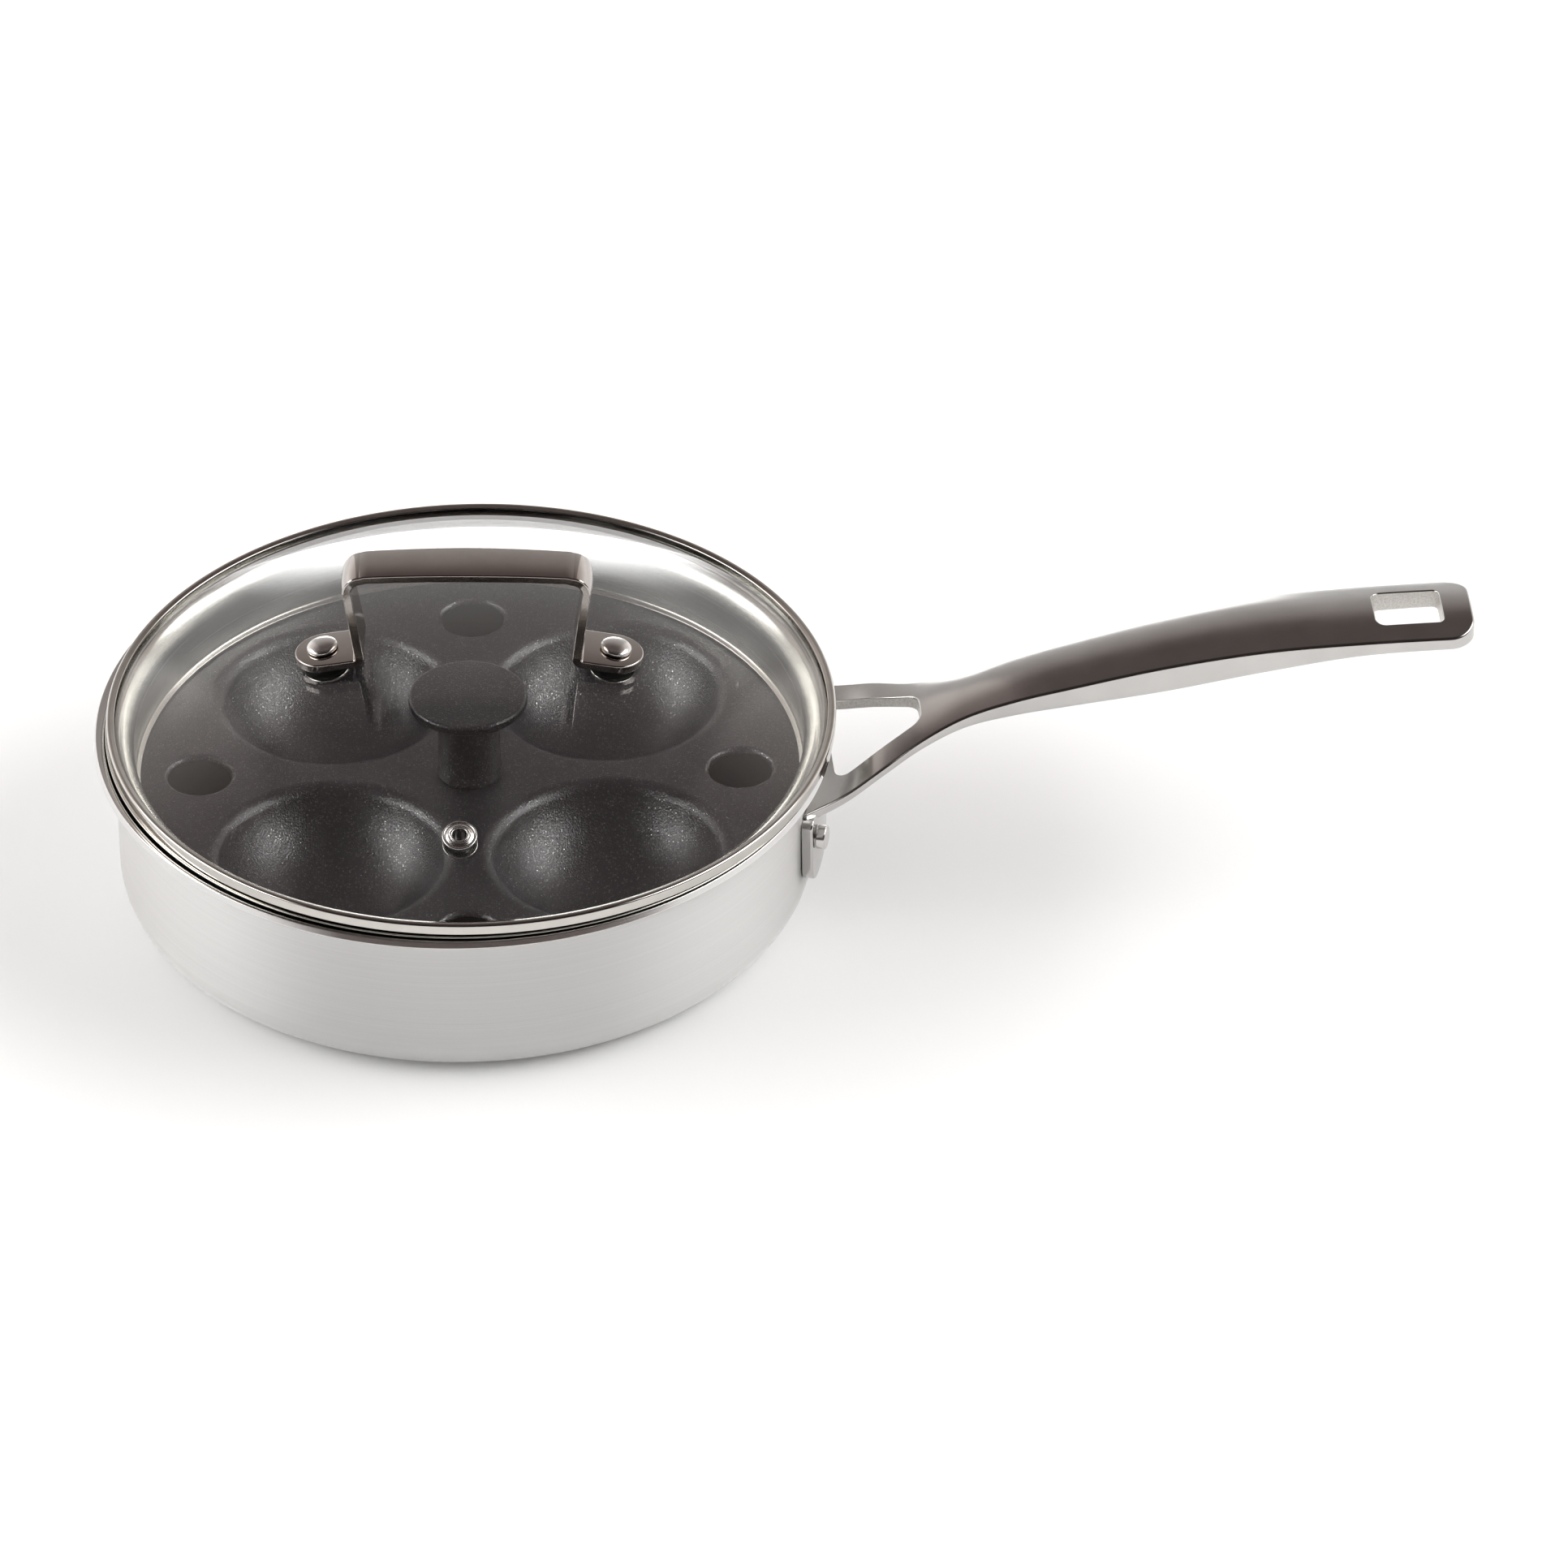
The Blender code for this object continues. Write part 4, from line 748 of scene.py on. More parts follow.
# Tray knob: a moulded lifting knob with a flat disc on a waisted stem, coated like the tray.
# A screw with a washer comes up through the tray and holds it.
KNOB_RISE = 0.0276
KNOB_DISC = 0.0177
KNOB_DISC_SHEET = 0.0032
KNOB_DISC_ROUND = 0.0011
KNOB_NECK = 0.0042
KNOB_STEM = 0.0093
KNOB_FOOT = 0.0099
KNOB_FOOT_LOW = 0.0011
KNOB_FOOT_TOP = 0.0032
KNOB_BORE = 0.0026
KNOB_BORE_DEPTH = 0.0130
KNOB_BORE_TIP = 0.0013
WASHER = 0.0070
WASHER_SHEET = 0.0010
SCREW_HEAD = 0.0045
SCREW_HEAD_DEPTH = 0.0020
SCREW_REACH = 0.0095
SCREW_SOCKET = 0.0018
SCREW_SOCKET_DEPTH = 0.0013
knob_low = FIT
knob_top = knob_low + KNOB_RISE
disc_low = knob_top - KNOB_DISC_SHEET
knob_profile = softened(((0.0, knob_top, 0.0), (KNOB_DISC, knob_top, KNOB_DISC_ROUND),
                         (KNOB_DISC, disc_low, KNOB_DISC_ROUND),
                         (KNOB_STEM + KNOB_NECK, disc_low, 0.0)), False, 8)[:-1]
knob_profile += arc(KNOB_STEM + KNOB_NECK, disc_low - KNOB_NECK, KNOB_NECK, 90.0, 180.0, 14)
knob_profile += softened(((KNOB_STEM, disc_low - KNOB_NECK - 0.001, 0.0),
                          (KNOB_STEM, knob_low + KNOB_FOOT_TOP, 0.0015),
                          (KNOB_FOOT, knob_low + KNOB_FOOT_LOW, 0.0006), (KNOB_FOOT, knob_low, 0.0003),
                          (KNOB_BORE, knob_low, 0.0002), (KNOB_BORE, knob_low + KNOB_BORE_DEPTH, 0.0),
                          (0.0, knob_low + KNOB_BORE_DEPTH + KNOB_BORE_TIP, 0.0)), False)


def flat_ring(outer, inner, low, top, outer_round, inner_round):
    """The closed profile of a flat ring with softened edges."""
    return softened(((outer, top, outer_round), (outer, low, outer_round),
                     (inner, low, inner_round), (inner, top, inner_round)))


turned_piece("lifting_knob", knob_profile, COATED, "insert", "tray_knob", steps=128,
             place=tray_place)
washer_top = -TRAY_SHEET - FIT
washer_low = washer_top - WASHER_SHEET
turned_piece("knob_clamp_washer", flat_ring(WASHER, KNOB_BORE, washer_low, washer_top, 0.0002, 0.0001),
             RIVETED, "insert", "knob_washer", True, 64, tray_place)
screw_radius = KNOB_BORE - FIT
screw_seat = washer_low - FIT
screw_low = screw_seat - SCREW_HEAD_DEPTH
screw_end = screw_seat + SCREW_REACH
screw_profile = softened(((0.0, screw_end, 0.0), (screw_radius, screw_end, 0.0004), (screw_radius, screw_seat, 0.0),
                          (SCREW_HEAD, screw_seat, 0.0002), (SCREW_HEAD, screw_low, 0.0009),
                          (SCREW_SOCKET, screw_low, 0.0001),
                          (SCREW_SOCKET - 0.0002, screw_low + SCREW_SOCKET_DEPTH - 0.0002, 0.0),
                          (0.0, screw_low + SCREW_SOCKET_DEPTH, 0.0)), False)
turned_piece("knob_clamp_screw", screw_profile, RIVETED, "insert", "knob_screw", steps=48,
             place=tray_place)


# Lid glass: a dome of clear tempered glass, 4 mm thick, with its edge ground flat for the band.
# Three holes are drilled through it, for the two handle rivets and the steam vent.
LID_SHIFT = 0.0023
LID_TURN = math.radians(-1.7)
BAND_EDGE = 0.1094
BAND_SHEET = 0.0007
GLASS_SHEET = 0.0040
GLASS_RISE = 0.0242
GLASS_EDGE_WALL = 0.0012
DRILL_DEPTH = 0.03
GLASS_COLOUR = (0.985, 0.99, 0.985)
GLASS_BODY = (0.78, 0.84, 0.72, 1.0)
VENT_CENTRE = 0.0790
VENT_BARREL = 0.0030
LID_RIVET_CENTRE = 0.0431
BUSH = 0.0038


def tempered_glass():
    """Clear tempered glass with a faint green body, which shows where one looks along the sheet."""
    finish, tree, shader = finish_of("tempered_glass", GLASS_COLOUR, 0.0, 0.0)
    shader.inputs["Transmission Weight"].default_value = 1.0
    shader.inputs["IOR"].default_value = 1.5
    smear = grain(tree, spot(tree)[0], 40.0, 4.0)
    join(tree, ranged(tree, smear, 0.45, 0.75, 0.0, 0.004), shader.inputs["Roughness"])
    body = node_of(tree, "VolumeAbsorption", Color=GLASS_BODY, Density=7.0)
    join(tree, body.outputs[0], tree.nodes["Material Output"].inputs["Volume"])
    return finish


GLASS = tempered_glass()
lid_place = Matrix.Translation((LID_SHIFT, 0.0, PAN_HEIGHT)) @ Matrix.Rotation(LID_TURN, 4, "Z")
band_low = flange_top + FIT
glass_edge = BAND_EDGE - BAND_SHEET - FIT
edge_low = band_low + BAND_SHEET + FIT
edge_top = edge_low + GLASS_EDGE_WALL
dome_radius = (glass_edge ** 2 + GLASS_RISE ** 2) / (2.0 * GLASS_RISE)
dome_top = edge_top + GLASS_RISE
dome_middle = dome_top - dome_radius


def glass_top(distance):
    """Height of the dome's top at a distance from its axis."""
    return dome_middle + math.sqrt(dome_radius ** 2 - distance ** 2)


def on_glass(distance, turn):
    """A place on the glass, with its own Z square to the glass."""
    tilt = math.asin(distance / dome_radius)
    return (Matrix.Translation((0.0, 0.0, dome_middle)) @ Matrix.Rotation(turn, 4, "Z")
            @ Matrix.Rotation(tilt, 4, "Y") @ Matrix.Translation((0.0, 0.0, dome_radius)))


under_radius = dome_radius - GLASS_SHEET
meet = math.sqrt(under_radius ** 2 - (edge_low - dome_middle) ** 2)
top_lean = math.degrees(math.asin(glass_edge / dome_radius))
under_lean = math.degrees(math.asin(meet / under_radius))
glass_profile = arc(0.0, dome_middle, dome_radius, 90.0, 90.0 - top_lean, 70)
glass_profile += [(glass_edge, edge_low)]
glass_profile += arc(0.0, dome_middle, under_radius, 90.0 - under_lean, 90.0, 70)
glass_profile = [(max(radius, 0.0), height) for radius, height in glass_profile]
glass_profile[0] = (0.0, dome_top)
glass_profile[-1] = (0.0, dome_middle + under_radius)
lid = turned_piece("glass_dome", glass_profile, GLASS, "lid", "lid_glass", steps=240,
                   place=lid_place)
drills = []
for distance, turn, radius in ((VENT_CENTRE, math.radians(-90.0), VENT_BARREL + FIT),
                               (LID_RIVET_CENTRE, 0.0, BUSH + FIT), (LID_RIVET_CENTRE, math.pi, BUSH + FIT)):
    drill = bmesh.new()
    bmesh.ops.create_cone(drill, cap_ends=True, segments=64, radius1=radius, radius2=radius, depth=DRILL_DEPTH,
                          matrix=lid_place @ on_glass(distance, turn))
    drill_mesh = bpy.data.meshes.new("glass_drill")
    drill.to_mesh(drill_mesh)
    drill.free()
    cutter = bpy.data.objects.new("glass_drill", drill_mesh)
    bpy.context.scene.collection.objects.link(cutter)
    drills.append(cutter)
    drilled = lid.modifiers.new("drilled", "BOOLEAN")
    drilled.operation = "DIFFERENCE"
    drilled.object = cutter
    drilled.solver = "EXACT"
lid.modifiers.remove(lid.modifiers["even_shading"])
bpy.context.view_layer.update()
drilled_mesh = bpy.data.meshes.new_from_object(lid.evaluated_get(bpy.context.evaluated_depsgraph_get()))
lid.modifiers.clear()
lid.data = drilled_mesh
for cutter in drills:
    bpy.data.objects.remove(cutter, do_unlink=True)
# The dome is shaded as the ball it is part of, and its edge and holes by their own faces.
loop_normals = []
ball = Vector((0.0, 0.0, dome_middle))
for face in drilled_mesh.polygons:
    face.use_smooth = True
    for corner in face.vertices:
        spoke = drilled_mesh.vertices[corner].co - ball
        if abs(face.normal.dot(spoke.normalized())) > 0.9:
            loop_normals.append(spoke.normalized() * (1.0 if face.normal.dot(spoke) > 0.0 else -1.0))
        else:
            loop_normals.append(face.normal.copy())
drilled_mesh.normals_split_custom_set(loop_normals)


# Lid band: a channel of mirror steel, rolled in over the edge of the glass and under it. It holds the
# glass by its spring alone, and its lower corner is rolled to a slope.
BAND_TOP_EDGE = 0.1069
BAND_LOW_EDGE = 0.1050
BAND_SLOPE = 0.0010
BAND_LIFT = 0.0004
BAND_STEEL = (0.57, 0.55, 0.515)
grip = glass_top(BAND_TOP_EDGE) + FIT
band_top = grip + BAND_SHEET + BAND_LIFT
band_inside = BAND_EDGE - BAND_SHEET
band_profile = softened(((BAND_TOP_EDGE, grip + BAND_SHEET, 0.0003), (BAND_TOP_EDGE + 0.0012, band_top, 0.0008),
                         (BAND_EDGE, band_top, 0.0009), (BAND_EDGE, band_low + BAND_SLOPE, 0.0003),
                         (BAND_EDGE - BAND_SLOPE, band_low, 0.0003),
                         (BAND_LOW_EDGE, band_low, 0.0003), (BAND_LOW_EDGE, band_low + BAND_SHEET, 0.0003),
                         (band_inside, band_low + BAND_SHEET, 0.0002), (band_inside, grip, 0.0002),
                         (BAND_TOP_EDGE, grip, 0.00015)), True, 7)
BRIGHT = bright_steel("bright_sheet_steel", BAND_STEEL, 0.06)
turned_piece("glass_band", band_profile, BRIGHT, "lid", "lid_band", True, 256, lid_place)


# Steam vent: a thin steel eyelet near the lid's front, with a rolled collar closed over a soft seal.
# Its barrel lines the hole in the glass, and a flange below holds it.
EYELET = 0.0052
EYELET_BORE = 0.0022
SEAL = 0.0050
SEAL_SHEET = 0.0006
# The collar's bead and groove, from the bore outward: radius, height over the seal, rounding
COLLAR_RINGS = ((EYELET_BORE, 0.0010, 0.0003), (0.0027, 0.0011, 0.0002), (0.0030, 0.0007, 0.0001),
                (0.0033, 0.0009, 0.0002), (0.0042, 0.00035, 0.0002), (0.0045, 0.00035, 0.0001),
                (0.0047, 0.0006, 0.0001), (EYELET, 0.0006, 0.0003), (EYELET, 0.0, 0.0002))
vent_place = lid_place @ on_glass(VENT_CENTRE, math.radians(-90.0))
seal_top = FIT + SEAL_SHEET
collar_low = seal_top + FIT
eyelet_low = -GLASS_SHEET - FIT
eyelet_profile = softened((
    *((radius, collar_low + rise, rounding) for radius, rise, rounding in COLLAR_RINGS),
    (VENT_BARREL, collar_low, 0.0), (VENT_BARREL, eyelet_low, 0.0002), (EYELET, eyelet_low, 0.0002),
    (EYELET, eyelet_low - 0.0006, 0.0003), (EYELET_BORE, eyelet_low - 0.0009, 0.0003)), True, 4)
turned_piece("vent_eyelet", eyelet_profile, RIVETED, "lid", "steam_vent_eyelet", True, 72,
             vent_place)


def soft_silicone():
    """Dark moulded silicone with a dull, slightly grained skin."""
    finish, tree, shader = finish_of("dark_silicone", (0.028, 0.028, 0.029), 0.0, 0.55)
    skin = grain(tree, spot(tree)[0], 900.0)
    join(tree, spread(tree, skin, 0.48, 0.66), shader.inputs["Roughness"])
    raised(tree, shader, skin, 0.15, 0.0001)
    return finish


SILICONE = soft_silicone()
turned_piece("vent_seal", softened(((SEAL, seal_top, 0.0002), (SEAL, FIT, 0.0001),
                                    (VENT_BARREL + FIT, FIT, 0.0001), (VENT_BARREL + FIT, seal_top, 0.0001))),
             SILICONE, "lid", "steam_vent_seal", True, 64, vent_place)


# Lid handle: a flat steel bar with rounded edges, bent into a bow with two round-ended feet and then
# polished. Its feet lie on the glass, on thin pads, and its top is a little arched.
STRAP = 0.0031
STRAP_EDGE = 0.00045
FOOT_HALF = 0.0085
SHOULDER_HALF = 0.0070
BAR_HALF = 0.0074
FOOT_BEND = 0.0019
SHOULDER = 0.0048
BAR_TOP = 0.0613
BAR_ARCH = 0.0014
BAR_SPAN = 0.0375
LEG_OUT = 0.0342
PAD_SHEET = 0.0003
BOW_CROWN = (0.0004, 0.0005)
FOOT_STEPS, BEND_STEPS, LEG_STEPS, SHOULDER_STEPS, TOP_STEPS = 26, 14, 20, 18, 28
BOW_STEEL = (0.46, 0.425, 0.40)
foot_base = 2.0 * FIT + PAD_SHEET
foot_tilt = math.asin(LID_RIVET_CENTRE / dome_radius)
foot_reach = dome_radius + foot_base + STRAP / 2.0
foot_x = foot_reach * math.sin(foot_tilt)
foot_z = dome_middle + foot_reach * math.cos(foot_tilt)


def foot_line(x):
    """Height of the right foot's middle line."""
    return foot_z + (foot_x - x) * math.tan(foot_tilt)


def bow_route():
    """Middle line of the bar's right half, from the foot's end to the top, as closely spaced points."""
    foot_end = foot_x + FOOT_HALF * math.cos(foot_tilt)
    leg = LEG_OUT - STRAP / 2.0
    knee = BAR_SPAN - STRAP / 2.0
    bar = BAR_TOP - STRAP / 2.0
    bend_x = leg + FOOT_BEND * (1.0 - math.sin(foot_tilt))
    bend_z = foot_line(bend_x) + FOOT_BEND * math.cos(foot_tilt)
    low_z = bar - BAR_ARCH - SHOULDER
    foot = [foot_end + (bend_x - foot_end) * step / FOOT_STEPS for step in range(FOOT_STEPS)]
    route = [(x, foot_line(x)) for x in foot]
    route += arc(leg + FOOT_BEND, bend_z, FOOT_BEND, 270.0 - math.degrees(foot_tilt), 180.0, BEND_STEPS)
    route += [(leg + (knee - leg) * step / LEG_STEPS, bend_z + (low_z - bend_z) * step / LEG_STEPS)
              for step in range(1, LEG_STEPS)]
    route += arc(knee - SHOULDER, low_z, SHOULDER, 0.0, 86.0, SHOULDER_STEPS)
    start_x = route[-1][0]
    for step in range(1, TOP_STEPS + 1):
        share = 1.0 - step / TOP_STEPS
        route.append((start_x * share, bar - BAR_ARCH * share ** 2 * (start_x / knee) ** 2))
    return route


right_half = bow_route()
route = [Vector(point) for point in right_half] + [Vector((-x, z)) for x, z in reversed(right_half[:-1])]
reach_at = [0.0]
for before, after in zip(route, route[1:]):
    reach_at.append(reach_at[-1] + (after - before).length)
bow_length = reach_at[-1]
bend_at = reach_at[FOOT_STEPS + BEND_STEPS]
shoulder_at = reach_at[FOOT_STEPS + BEND_STEPS + LEG_STEPS + SHOULDER_STEPS // 2]


def bow_half(u):
    """Half width of the bar at a length along it: full at the feet, narrowest at the shoulders."""
    u = min(u, bow_length - u)
    if u < bend_at:
        return FOOT_HALF
    if u < shoulder_at:
        return FOOT_HALF + (SHOULDER_HALF - FOOT_HALF) * (u - bend_at) / (shoulder_at - bend_at)
    share = (u - shoulder_at) / (bow_length / 2.0 - shoulder_at)
    return SHOULDER_HALF + (BAR_HALF - SHOULDER_HALF) * share * share * (3.0 - 2.0 * share)


def bow_front(u, v):
    """Height of the bar's outside face, a little more crowned above its feet than on them."""
    share = min(max((min(u, bow_length - u) - bend_at) / 0.0107, 0.0), 1.0)
    crown = BOW_CROWN[0] + (BOW_CROWN[1] - BOW_CROWN[0]) * share
    return STRAP / 2.0 - crown * (v / bow_half(u)) ** 2


def along_bow(u, v, height):
    """Bends the flat bar along its route. Height is out from the middle line, on the outside of the bow."""
    u = min(max(u, 0.0), bow_length)
    index = min(max(int(np.searchsorted(reach_at, u)) - 1, 0), len(route) - 2)
    share = (u - reach_at[index]) / (reach_at[index + 1] - reach_at[index])

    def heading(point):
        return (route[min(point + 1, len(route) - 1)] - route[max(point - 1, 0)]).normalized()

    ahead = heading(index).lerp(heading(index + 1), share).normalized()
    middle = route[index].lerp(route[index + 1], share)
    out = Vector((ahead.y, -ahead.x))
    axes = Matrix((Vector((ahead.x, 0.0, ahead.y)), Vector((0.0, -1.0, 0.0)), Vector((out.x, 0.0, out.y))))
    where = middle + out * height
    return Vector((where.x, -v, where.y)), axes.transposed()


end_arc = [(FOOT_HALF - x, v) for x, v in domed(FOOT_HALF, 0.0, FOOT_HALF, range(-84, 90, 6))]
straight = [u for u in reach_at if FOOT_HALF + 0.0003 < u < bow_length - FOOT_HALF - 0.0003]
bow_ring = [(u, -bow_half(u)) for u in straight]
bow_ring += [(bow_length - u, v) for u, v in end_arc]
bow_ring += [(u, bow_half(u)) for u in reversed(straight)]
bow_ring += [(u, -v) for u, v in end_arc]
bow_points = [(u, bow_half(u) * lane / 8.0) for u in reach_at for lane in range(-7, 8)]
bow = shaped_slab("bow_handle", [bow_ring], bow_points, bow_front, lambda u, v: -STRAP / 2.0,
                  ((STRAP_EDGE, STRAP_EDGE),), along_bow)
BOW = bright_steel("polished_bar_steel", BOW_STEEL, 0.05, 120.0)
bow_piece = fitted("bow_handle", bow, BOW, "lid", "lid_handle", lid_place)
bow_piece.modifiers.clear()


# Lid rivets: domed steel rivets through each foot and the glass. A thin pad lies under the foot, a soft
# bush lines the hole in the glass, and a washer below takes the closed end.
LID_RIVET = 0.0047
LID_RIVET_RIM = 0.0005
LID_RIVET_RISE = 0.0016
LID_SHANK = 0.0024
CLOSED_HEAD = 0.0040
CLOSED_HEAD_RISE = 0.0011
PAD = 0.0066
BUSH_FLANGE = 0.0068
BUSH_FLANGE_SHEET = 0.0008
LID_WASHER = 0.0066
LID_WASHER_SHEET = 0.0010
sleeve = LID_SHANK + FIT
foot_top = foot_base + STRAP + FIT
bush_low = eyelet_low - BUSH_FLANGE_SHEET
clamp_top = bush_low - FIT
clamp_low = clamp_top - LID_WASHER_SHEET
closed_end = clamp_low - FIT
dome_start = foot_top + LID_RIVET_RIM
lid_rivet_profile = [(0.0, dome_start + LID_RIVET_RISE)]
lid_rivet_profile += domed(LID_RIVET, dome_start, LID_RIVET_RISE, range(84, -1, -6))
lid_rivet_profile += softened(((LID_RIVET, foot_top + 0.0003, 0.0), (LID_RIVET, foot_top, 0.0002),
                               (LID_SHANK, foot_top, 0.0), (LID_SHANK, closed_end, 0.0),
                               (CLOSED_HEAD, closed_end, 0.0002),
                               (CLOSED_HEAD, closed_end - CLOSED_HEAD_RISE, 0.0009),
                               (0.0, closed_end - CLOSED_HEAD_RISE, 0.0)), False)
bush_profile = softened(((BUSH, 0.0, 0.0001), (BUSH, eyelet_low, 0.0001), (BUSH_FLANGE, eyelet_low, 0.0002),
                         (BUSH_FLANGE, bush_low, 0.0002), (sleeve, bush_low, 0.0001), (sleeve, 0.0, 0.0001)))
for side, turn in (("right", 0.0), ("left", math.pi)):
    seat = lid_place @ on_glass(LID_RIVET_CENTRE, turn)
    turned_piece("foot_rivet_" + side, lid_rivet_profile, RIVETED, "lid", "lid_rivet_" + side,
                 steps=96, place=seat)
    turned_piece("pad_under_foot_" + side, flat_ring(PAD, sleeve, FIT, FIT + PAD_SHEET, 0.0001, 0.00005),
                 SILICONE, "lid", "foot_pad_" + side, True, 64, seat)
    turned_piece("glass_bush_" + side, bush_profile,
                 SILICONE, "lid", "rivet_bush_" + side, True, 64, seat)
    turned_piece("clamp_washer_" + side, flat_ring(LID_WASHER, sleeve, clamp_low, clamp_top, 0.0003, 0.0001),
                 RIVETED, "lid", "inner_washer_" + side, True, 64, seat)


# Studio: a white floor, a lit board behind the pan and two wide suns from above. The surround is pale at the
# back and sides, darker overhead and nearly dark on the near side, with a long lamp and a low panel
# at each side for the steel and the cups to mirror.
WHITE = (1.0, 1.0, 1.0, 1.0)
FLOOR_PAINT = (0.94, 0.94, 0.94)
FLOOR_GLOW = 0.06
FLOOR_HALF = 6.0
FLOOR_DROP = -0.0002
BOARD_LEFT, BOARD_RIGHT, BOARD_TOP, BOARD_BACK = -0.30, 0.28, 0.30, 0.95
BOARD_MIDDLE = -0.01
BOARD_GLOW = 3.2
# The surround's colour by height, from level with the floor (0) to overhead (1)
SURROUND = ((0.0, (0.66, 0.66, 0.66)), (0.13, (0.68, 0.67, 0.66)), (0.28, (0.60, 0.58, 0.57)),
            (0.41, (0.48, 0.45, 0.435)), (0.59, (0.35, 0.315, 0.30)), (0.74, (0.155, 0.128, 0.122)),
            (0.83, (0.12, 0.097, 0.092)), (1.0, (0.12, 0.10, 0.095)))
NEAR_SIDE = (1.0, 0.80, 0.75)
LAMP_GLOW = 6.4
LAMP_NARROW = 6.7
LAMP_SHORT = 2.2
LEFT_PANEL_GLOW = 0.32
RIGHT_PANEL_GLOW = 0.21
SUN_GLOW = 0.52
SUN_TILT = 14.0
SUN_SPREAD = 120.0
PHOTO_WIDTH = 1932.0
FOCAL_PIXELS = 18000.0
SENSOR = 36.0


def add_surfaces(tree, first, second):
    """Shows two surfaces of a finish added together."""
    both = node_of(tree, "AddShader", i0=first.outputs[0], i1=second.outputs[0])
    join(tree, both.outputs[0], tree.nodes["Material Output"].inputs["Surface"])


def floor_paint():
    """White paint, with a faint glow that is only seen and mirrored and lights nothing."""
    finish, tree, shader = finish_of("white_floor", FLOOR_PAINT, 0.0, 0.9)
    shader.inputs["Specular IOR Level"].default_value = 0.0
    path = tree.nodes.new("ShaderNodeLightPath")
    seen = maths(tree, "MAXIMUM", path.outputs["Is Camera Ray"],
                 maths(tree, "MAXIMUM", path.outputs["Is Glossy Ray"], path.outputs["Is Transmission Ray"]))
    glow = node_of(tree, "Emission", Color=WHITE, Strength=maths(tree, "MULTIPLY", seen, FLOOR_GLOW))
    add_surfaces(tree, shader, glow)
    return finish


def board_light():
    """The board's light: strongest low down at its middle, and clear where it ends."""
    finish, tree = finish_of("lit_board", (0.9, 0.9, 0.9), 0.0, 1.0)[:2]
    place, x, y, z = spot(tree)
    aside = maths(tree, "ABSOLUTE", maths(tree, "SUBTRACT", x, BOARD_MIDDLE))
    middle = ranged(tree, aside, 0.14, 0.27, 1.0, 0.0)
    glow = maths(tree, "MULTIPLY", middle, ranged(tree, z, 0.13, 0.27, BOARD_GLOW, 0.0))
    add_surfaces(tree, node_of(tree, "Emission", Strength=glow), node_of(tree, "BsdfTransparent"))
    return finish


def studio_sheet(name, corners, finish):
    """A flat sheet of the studio, from its four corners."""
    mesh = bpy.data.meshes.new(name)
    mesh.from_pydata(corners, [], [(0, 1, 2, 3)])
    mesh.materials.append(finish)
    sheet = bpy.data.objects.new(name, mesh)
    bpy.context.scene.collection.objects.link(sheet)
    return sheet


floor = studio_sheet("studio_floor", [(-FLOOR_HALF, -FLOOR_HALF, FLOOR_DROP), (FLOOR_HALF, -FLOOR_HALF, FLOOR_DROP),
                                      (FLOOR_HALF, FLOOR_HALF, FLOOR_DROP), (-FLOOR_HALF, FLOOR_HALF, FLOOR_DROP)],
                     floor_paint())
board = studio_sheet("back_board", [(BOARD_LEFT, BOARD_BACK, 0.0), (BOARD_RIGHT, BOARD_BACK, 0.0),
                                    (BOARD_RIGHT, BOARD_BACK, BOARD_TOP), (BOARD_LEFT, BOARD_BACK, BOARD_TOP)],
                     board_light())
board.visible_camera = False

world = bpy.data.worlds.new("surround")
bpy.context.scene.world = world
world.use_nodes = True
sky = world.node_tree
direction = sky.nodes.new("ShaderNodeTexCoord").outputs["Generated"]
across, inward, up = node_of(sky, "SeparateXYZ", Vector=direction).outputs
ramp = node_of(sky, "ValToRGB", Fac=up)
while len(ramp.color_ramp.elements) < len(SURROUND):
    ramp.color_ramp.elements.new(0.5)
for element, (position, colour) in zip(ramp.color_ramp.elements, SURROUND):
    element.position = position
    element.color = (*colour, 1.0)
# The back corners are nearly twice as bright as the back's middle.
corner = maths(sky, "MULTIPLY", ranged(sky, maths(sky, "ABSOLUTE", across), 0.355, 0.385, 0.0, 0.9),
               ranged(sky, inward, 0.10, 0.30, 0.0, 1.0))
lit = scaled(sky, ramp.outputs[0], maths(sky, "ADD", corner, 1.0))
dark = scaled(sky, NEAR_SIDE, ranged(sky, up, 0.02, 0.16, 0.16, 0.035))
shaded = blended(sky, ranged(sky, inward, -0.35, 0.10, 1.0, 0.0), lit, dark)
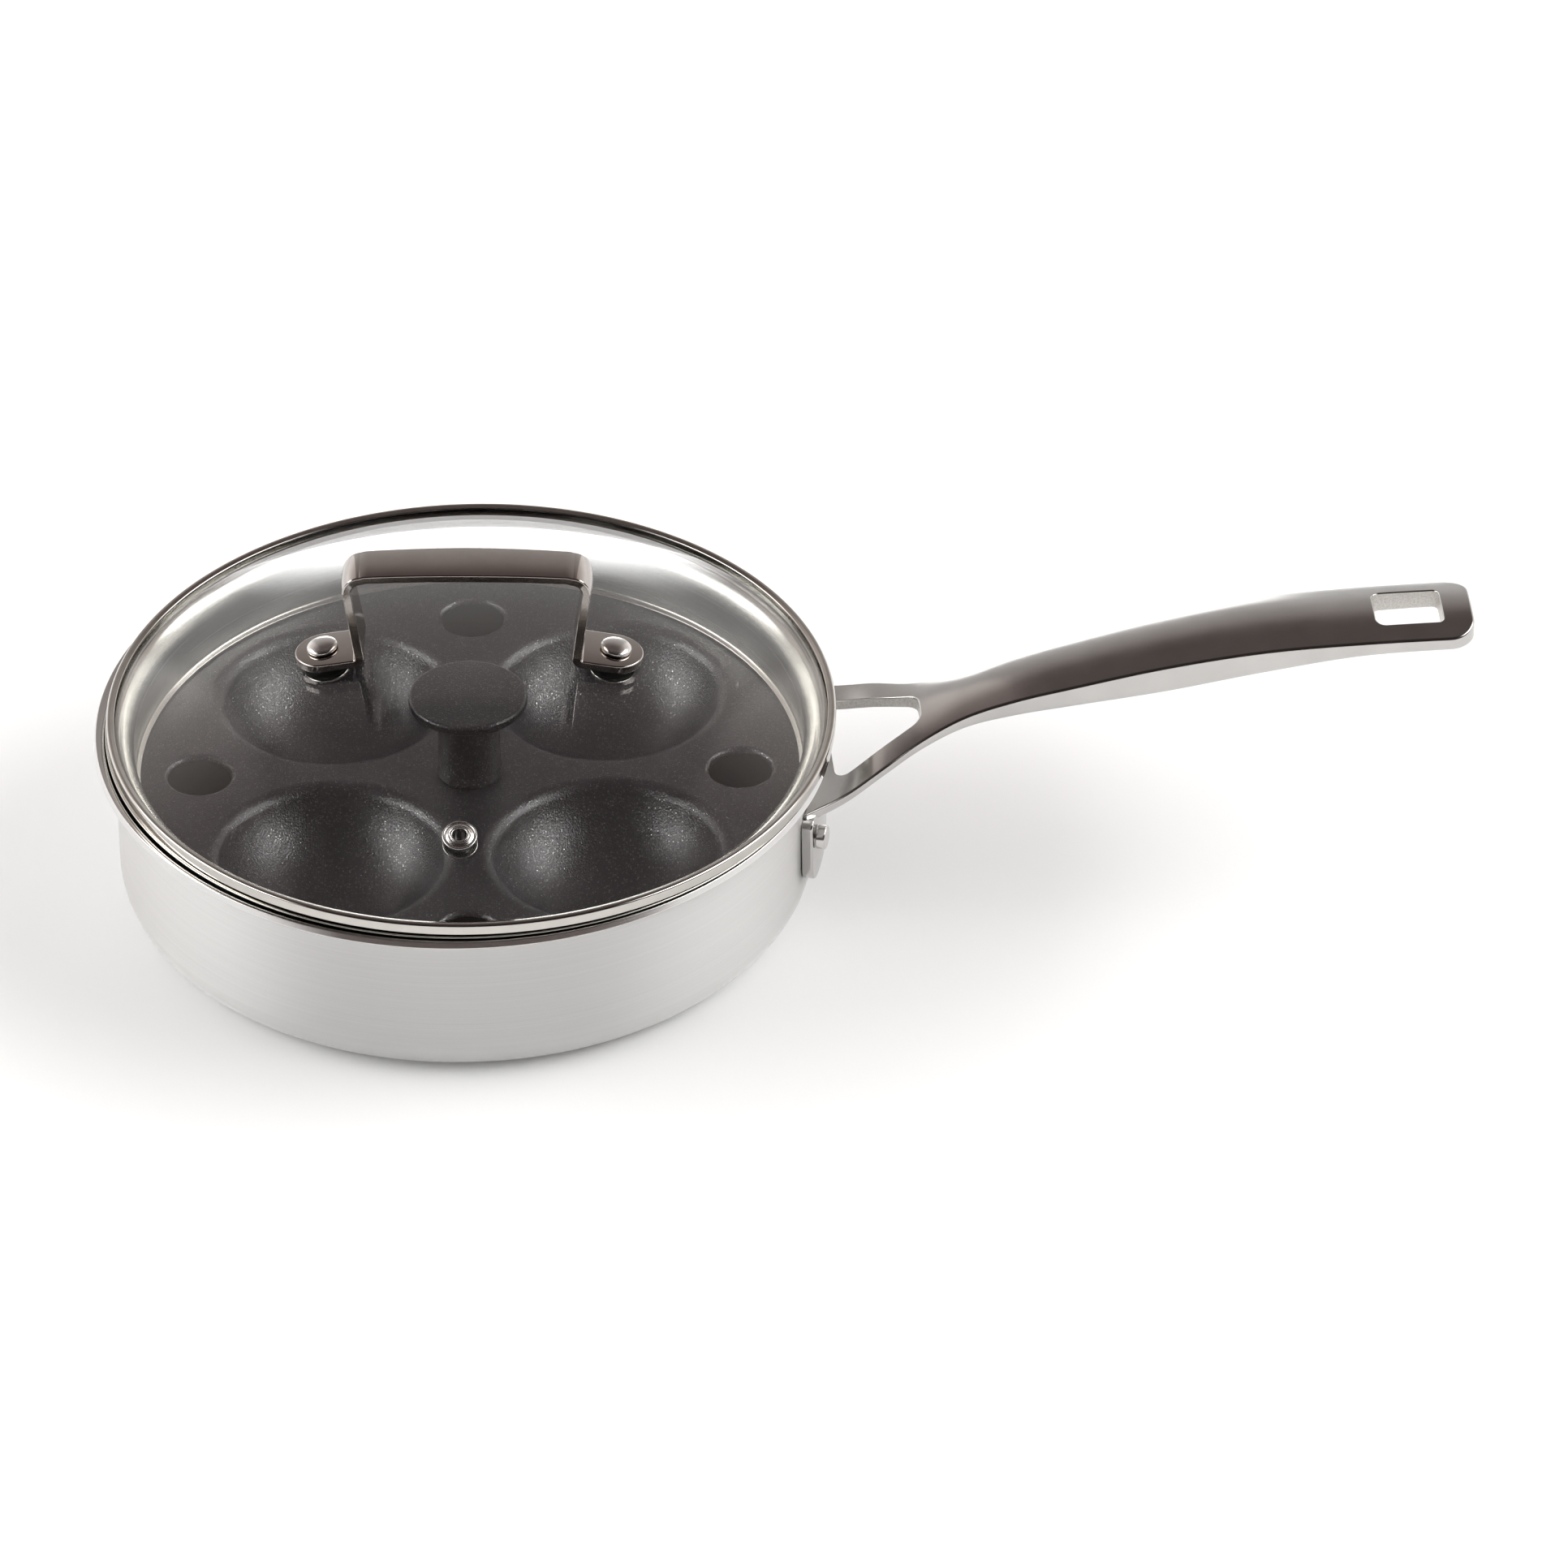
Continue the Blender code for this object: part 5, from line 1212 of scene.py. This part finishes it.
# The long lamps: an oval each side, the right one a little higher.
lamp_middle = ranged(sky, across, -0.5, 0.5, 0.49, 0.60)
lamp_rise = maths(sky, "MULTIPLY", maths(sky, "SUBTRACT", up, lamp_middle), LAMP_NARROW)
lamp_reach = maths(sky, "MULTIPLY", inward, LAMP_SHORT)
lamp_oval = maths(sky, "ADD", maths(sky, "MULTIPLY", lamp_rise, lamp_rise),
                  maths(sky, "MULTIPLY", lamp_reach, lamp_reach))
lamps = ranged(sky, lamp_oval, 0.6, 1.4, 1.0, 0.0)
# The low panels: left of the pan, and right of it a little to the back.
low = ranged(sky, up, 0.22, 0.42, 1.0, 0.0)
left_panel = maths(sky, "MULTIPLY", ranged(sky, across, -0.76, -0.58, LEFT_PANEL_GLOW, 0.0), low)
right_way = maths(sky, "MULTIPLY_ADD", across, 0.98, maths(sky, "MULTIPLY", inward, 0.17))
right_panel = maths(sky, "MULTIPLY", ranged(sky, right_way, 0.88, 0.97, 0.0, RIGHT_PANEL_GLOW), low)
glow = maths(sky, "ADD", maths(sky, "MULTIPLY_ADD", lamps, LAMP_GLOW, left_panel), right_panel)
glow_colour = node_of(sky, "CombineXYZ", X=glow, Y=glow, Z=glow)
whole = node_of(sky, "VectorMath", i0=glow_colour.outputs[0], i1=shaded)
whole.operation = "ADD"
seen_straight = sky.nodes.new("ShaderNodeLightPath").outputs["Is Camera Ray"]
join(sky, blended(sky, seen_straight, whole.outputs[0], WHITE), sky.nodes["Background"].inputs["Color"])

for name, turn in (("soft_sun_left", 225.0), ("soft_sun_right", 60.0)):
    lamp = bpy.data.lights.new(name, "SUN")
    lamp.energy = SUN_GLOW
    lamp.angle = math.radians(SUN_SPREAD)
    light = bpy.data.objects.new(name, lamp)
    light.rotation_euler = (math.radians(SUN_TILT), 0.0, math.radians(turn))
    light.visible_glossy = False
    light.visible_transmission = False
    bpy.context.scene.collection.objects.link(light)

camera = bpy.data.cameras.new("camera")
camera.lens = FOCAL_PIXELS * SENSOR / PHOTO_WIDTH
camera.sensor_width = SENSOR
camera.clip_end = 20.0
view = bpy.data.objects.new("camera", camera)
bpy.context.scene.collection.objects.link(view)
view.matrix_world = (Matrix.Translation((0.095721, -3.567064, 2.593022))
                     @ Matrix.Rotation(math.radians(54.306), 4, "X")
                     @ Matrix.Rotation(math.radians(-0.819), 4, "Z"))
bpy.context.scene.camera = view
bpy.context.scene.view_settings.view_transform = "Standard"
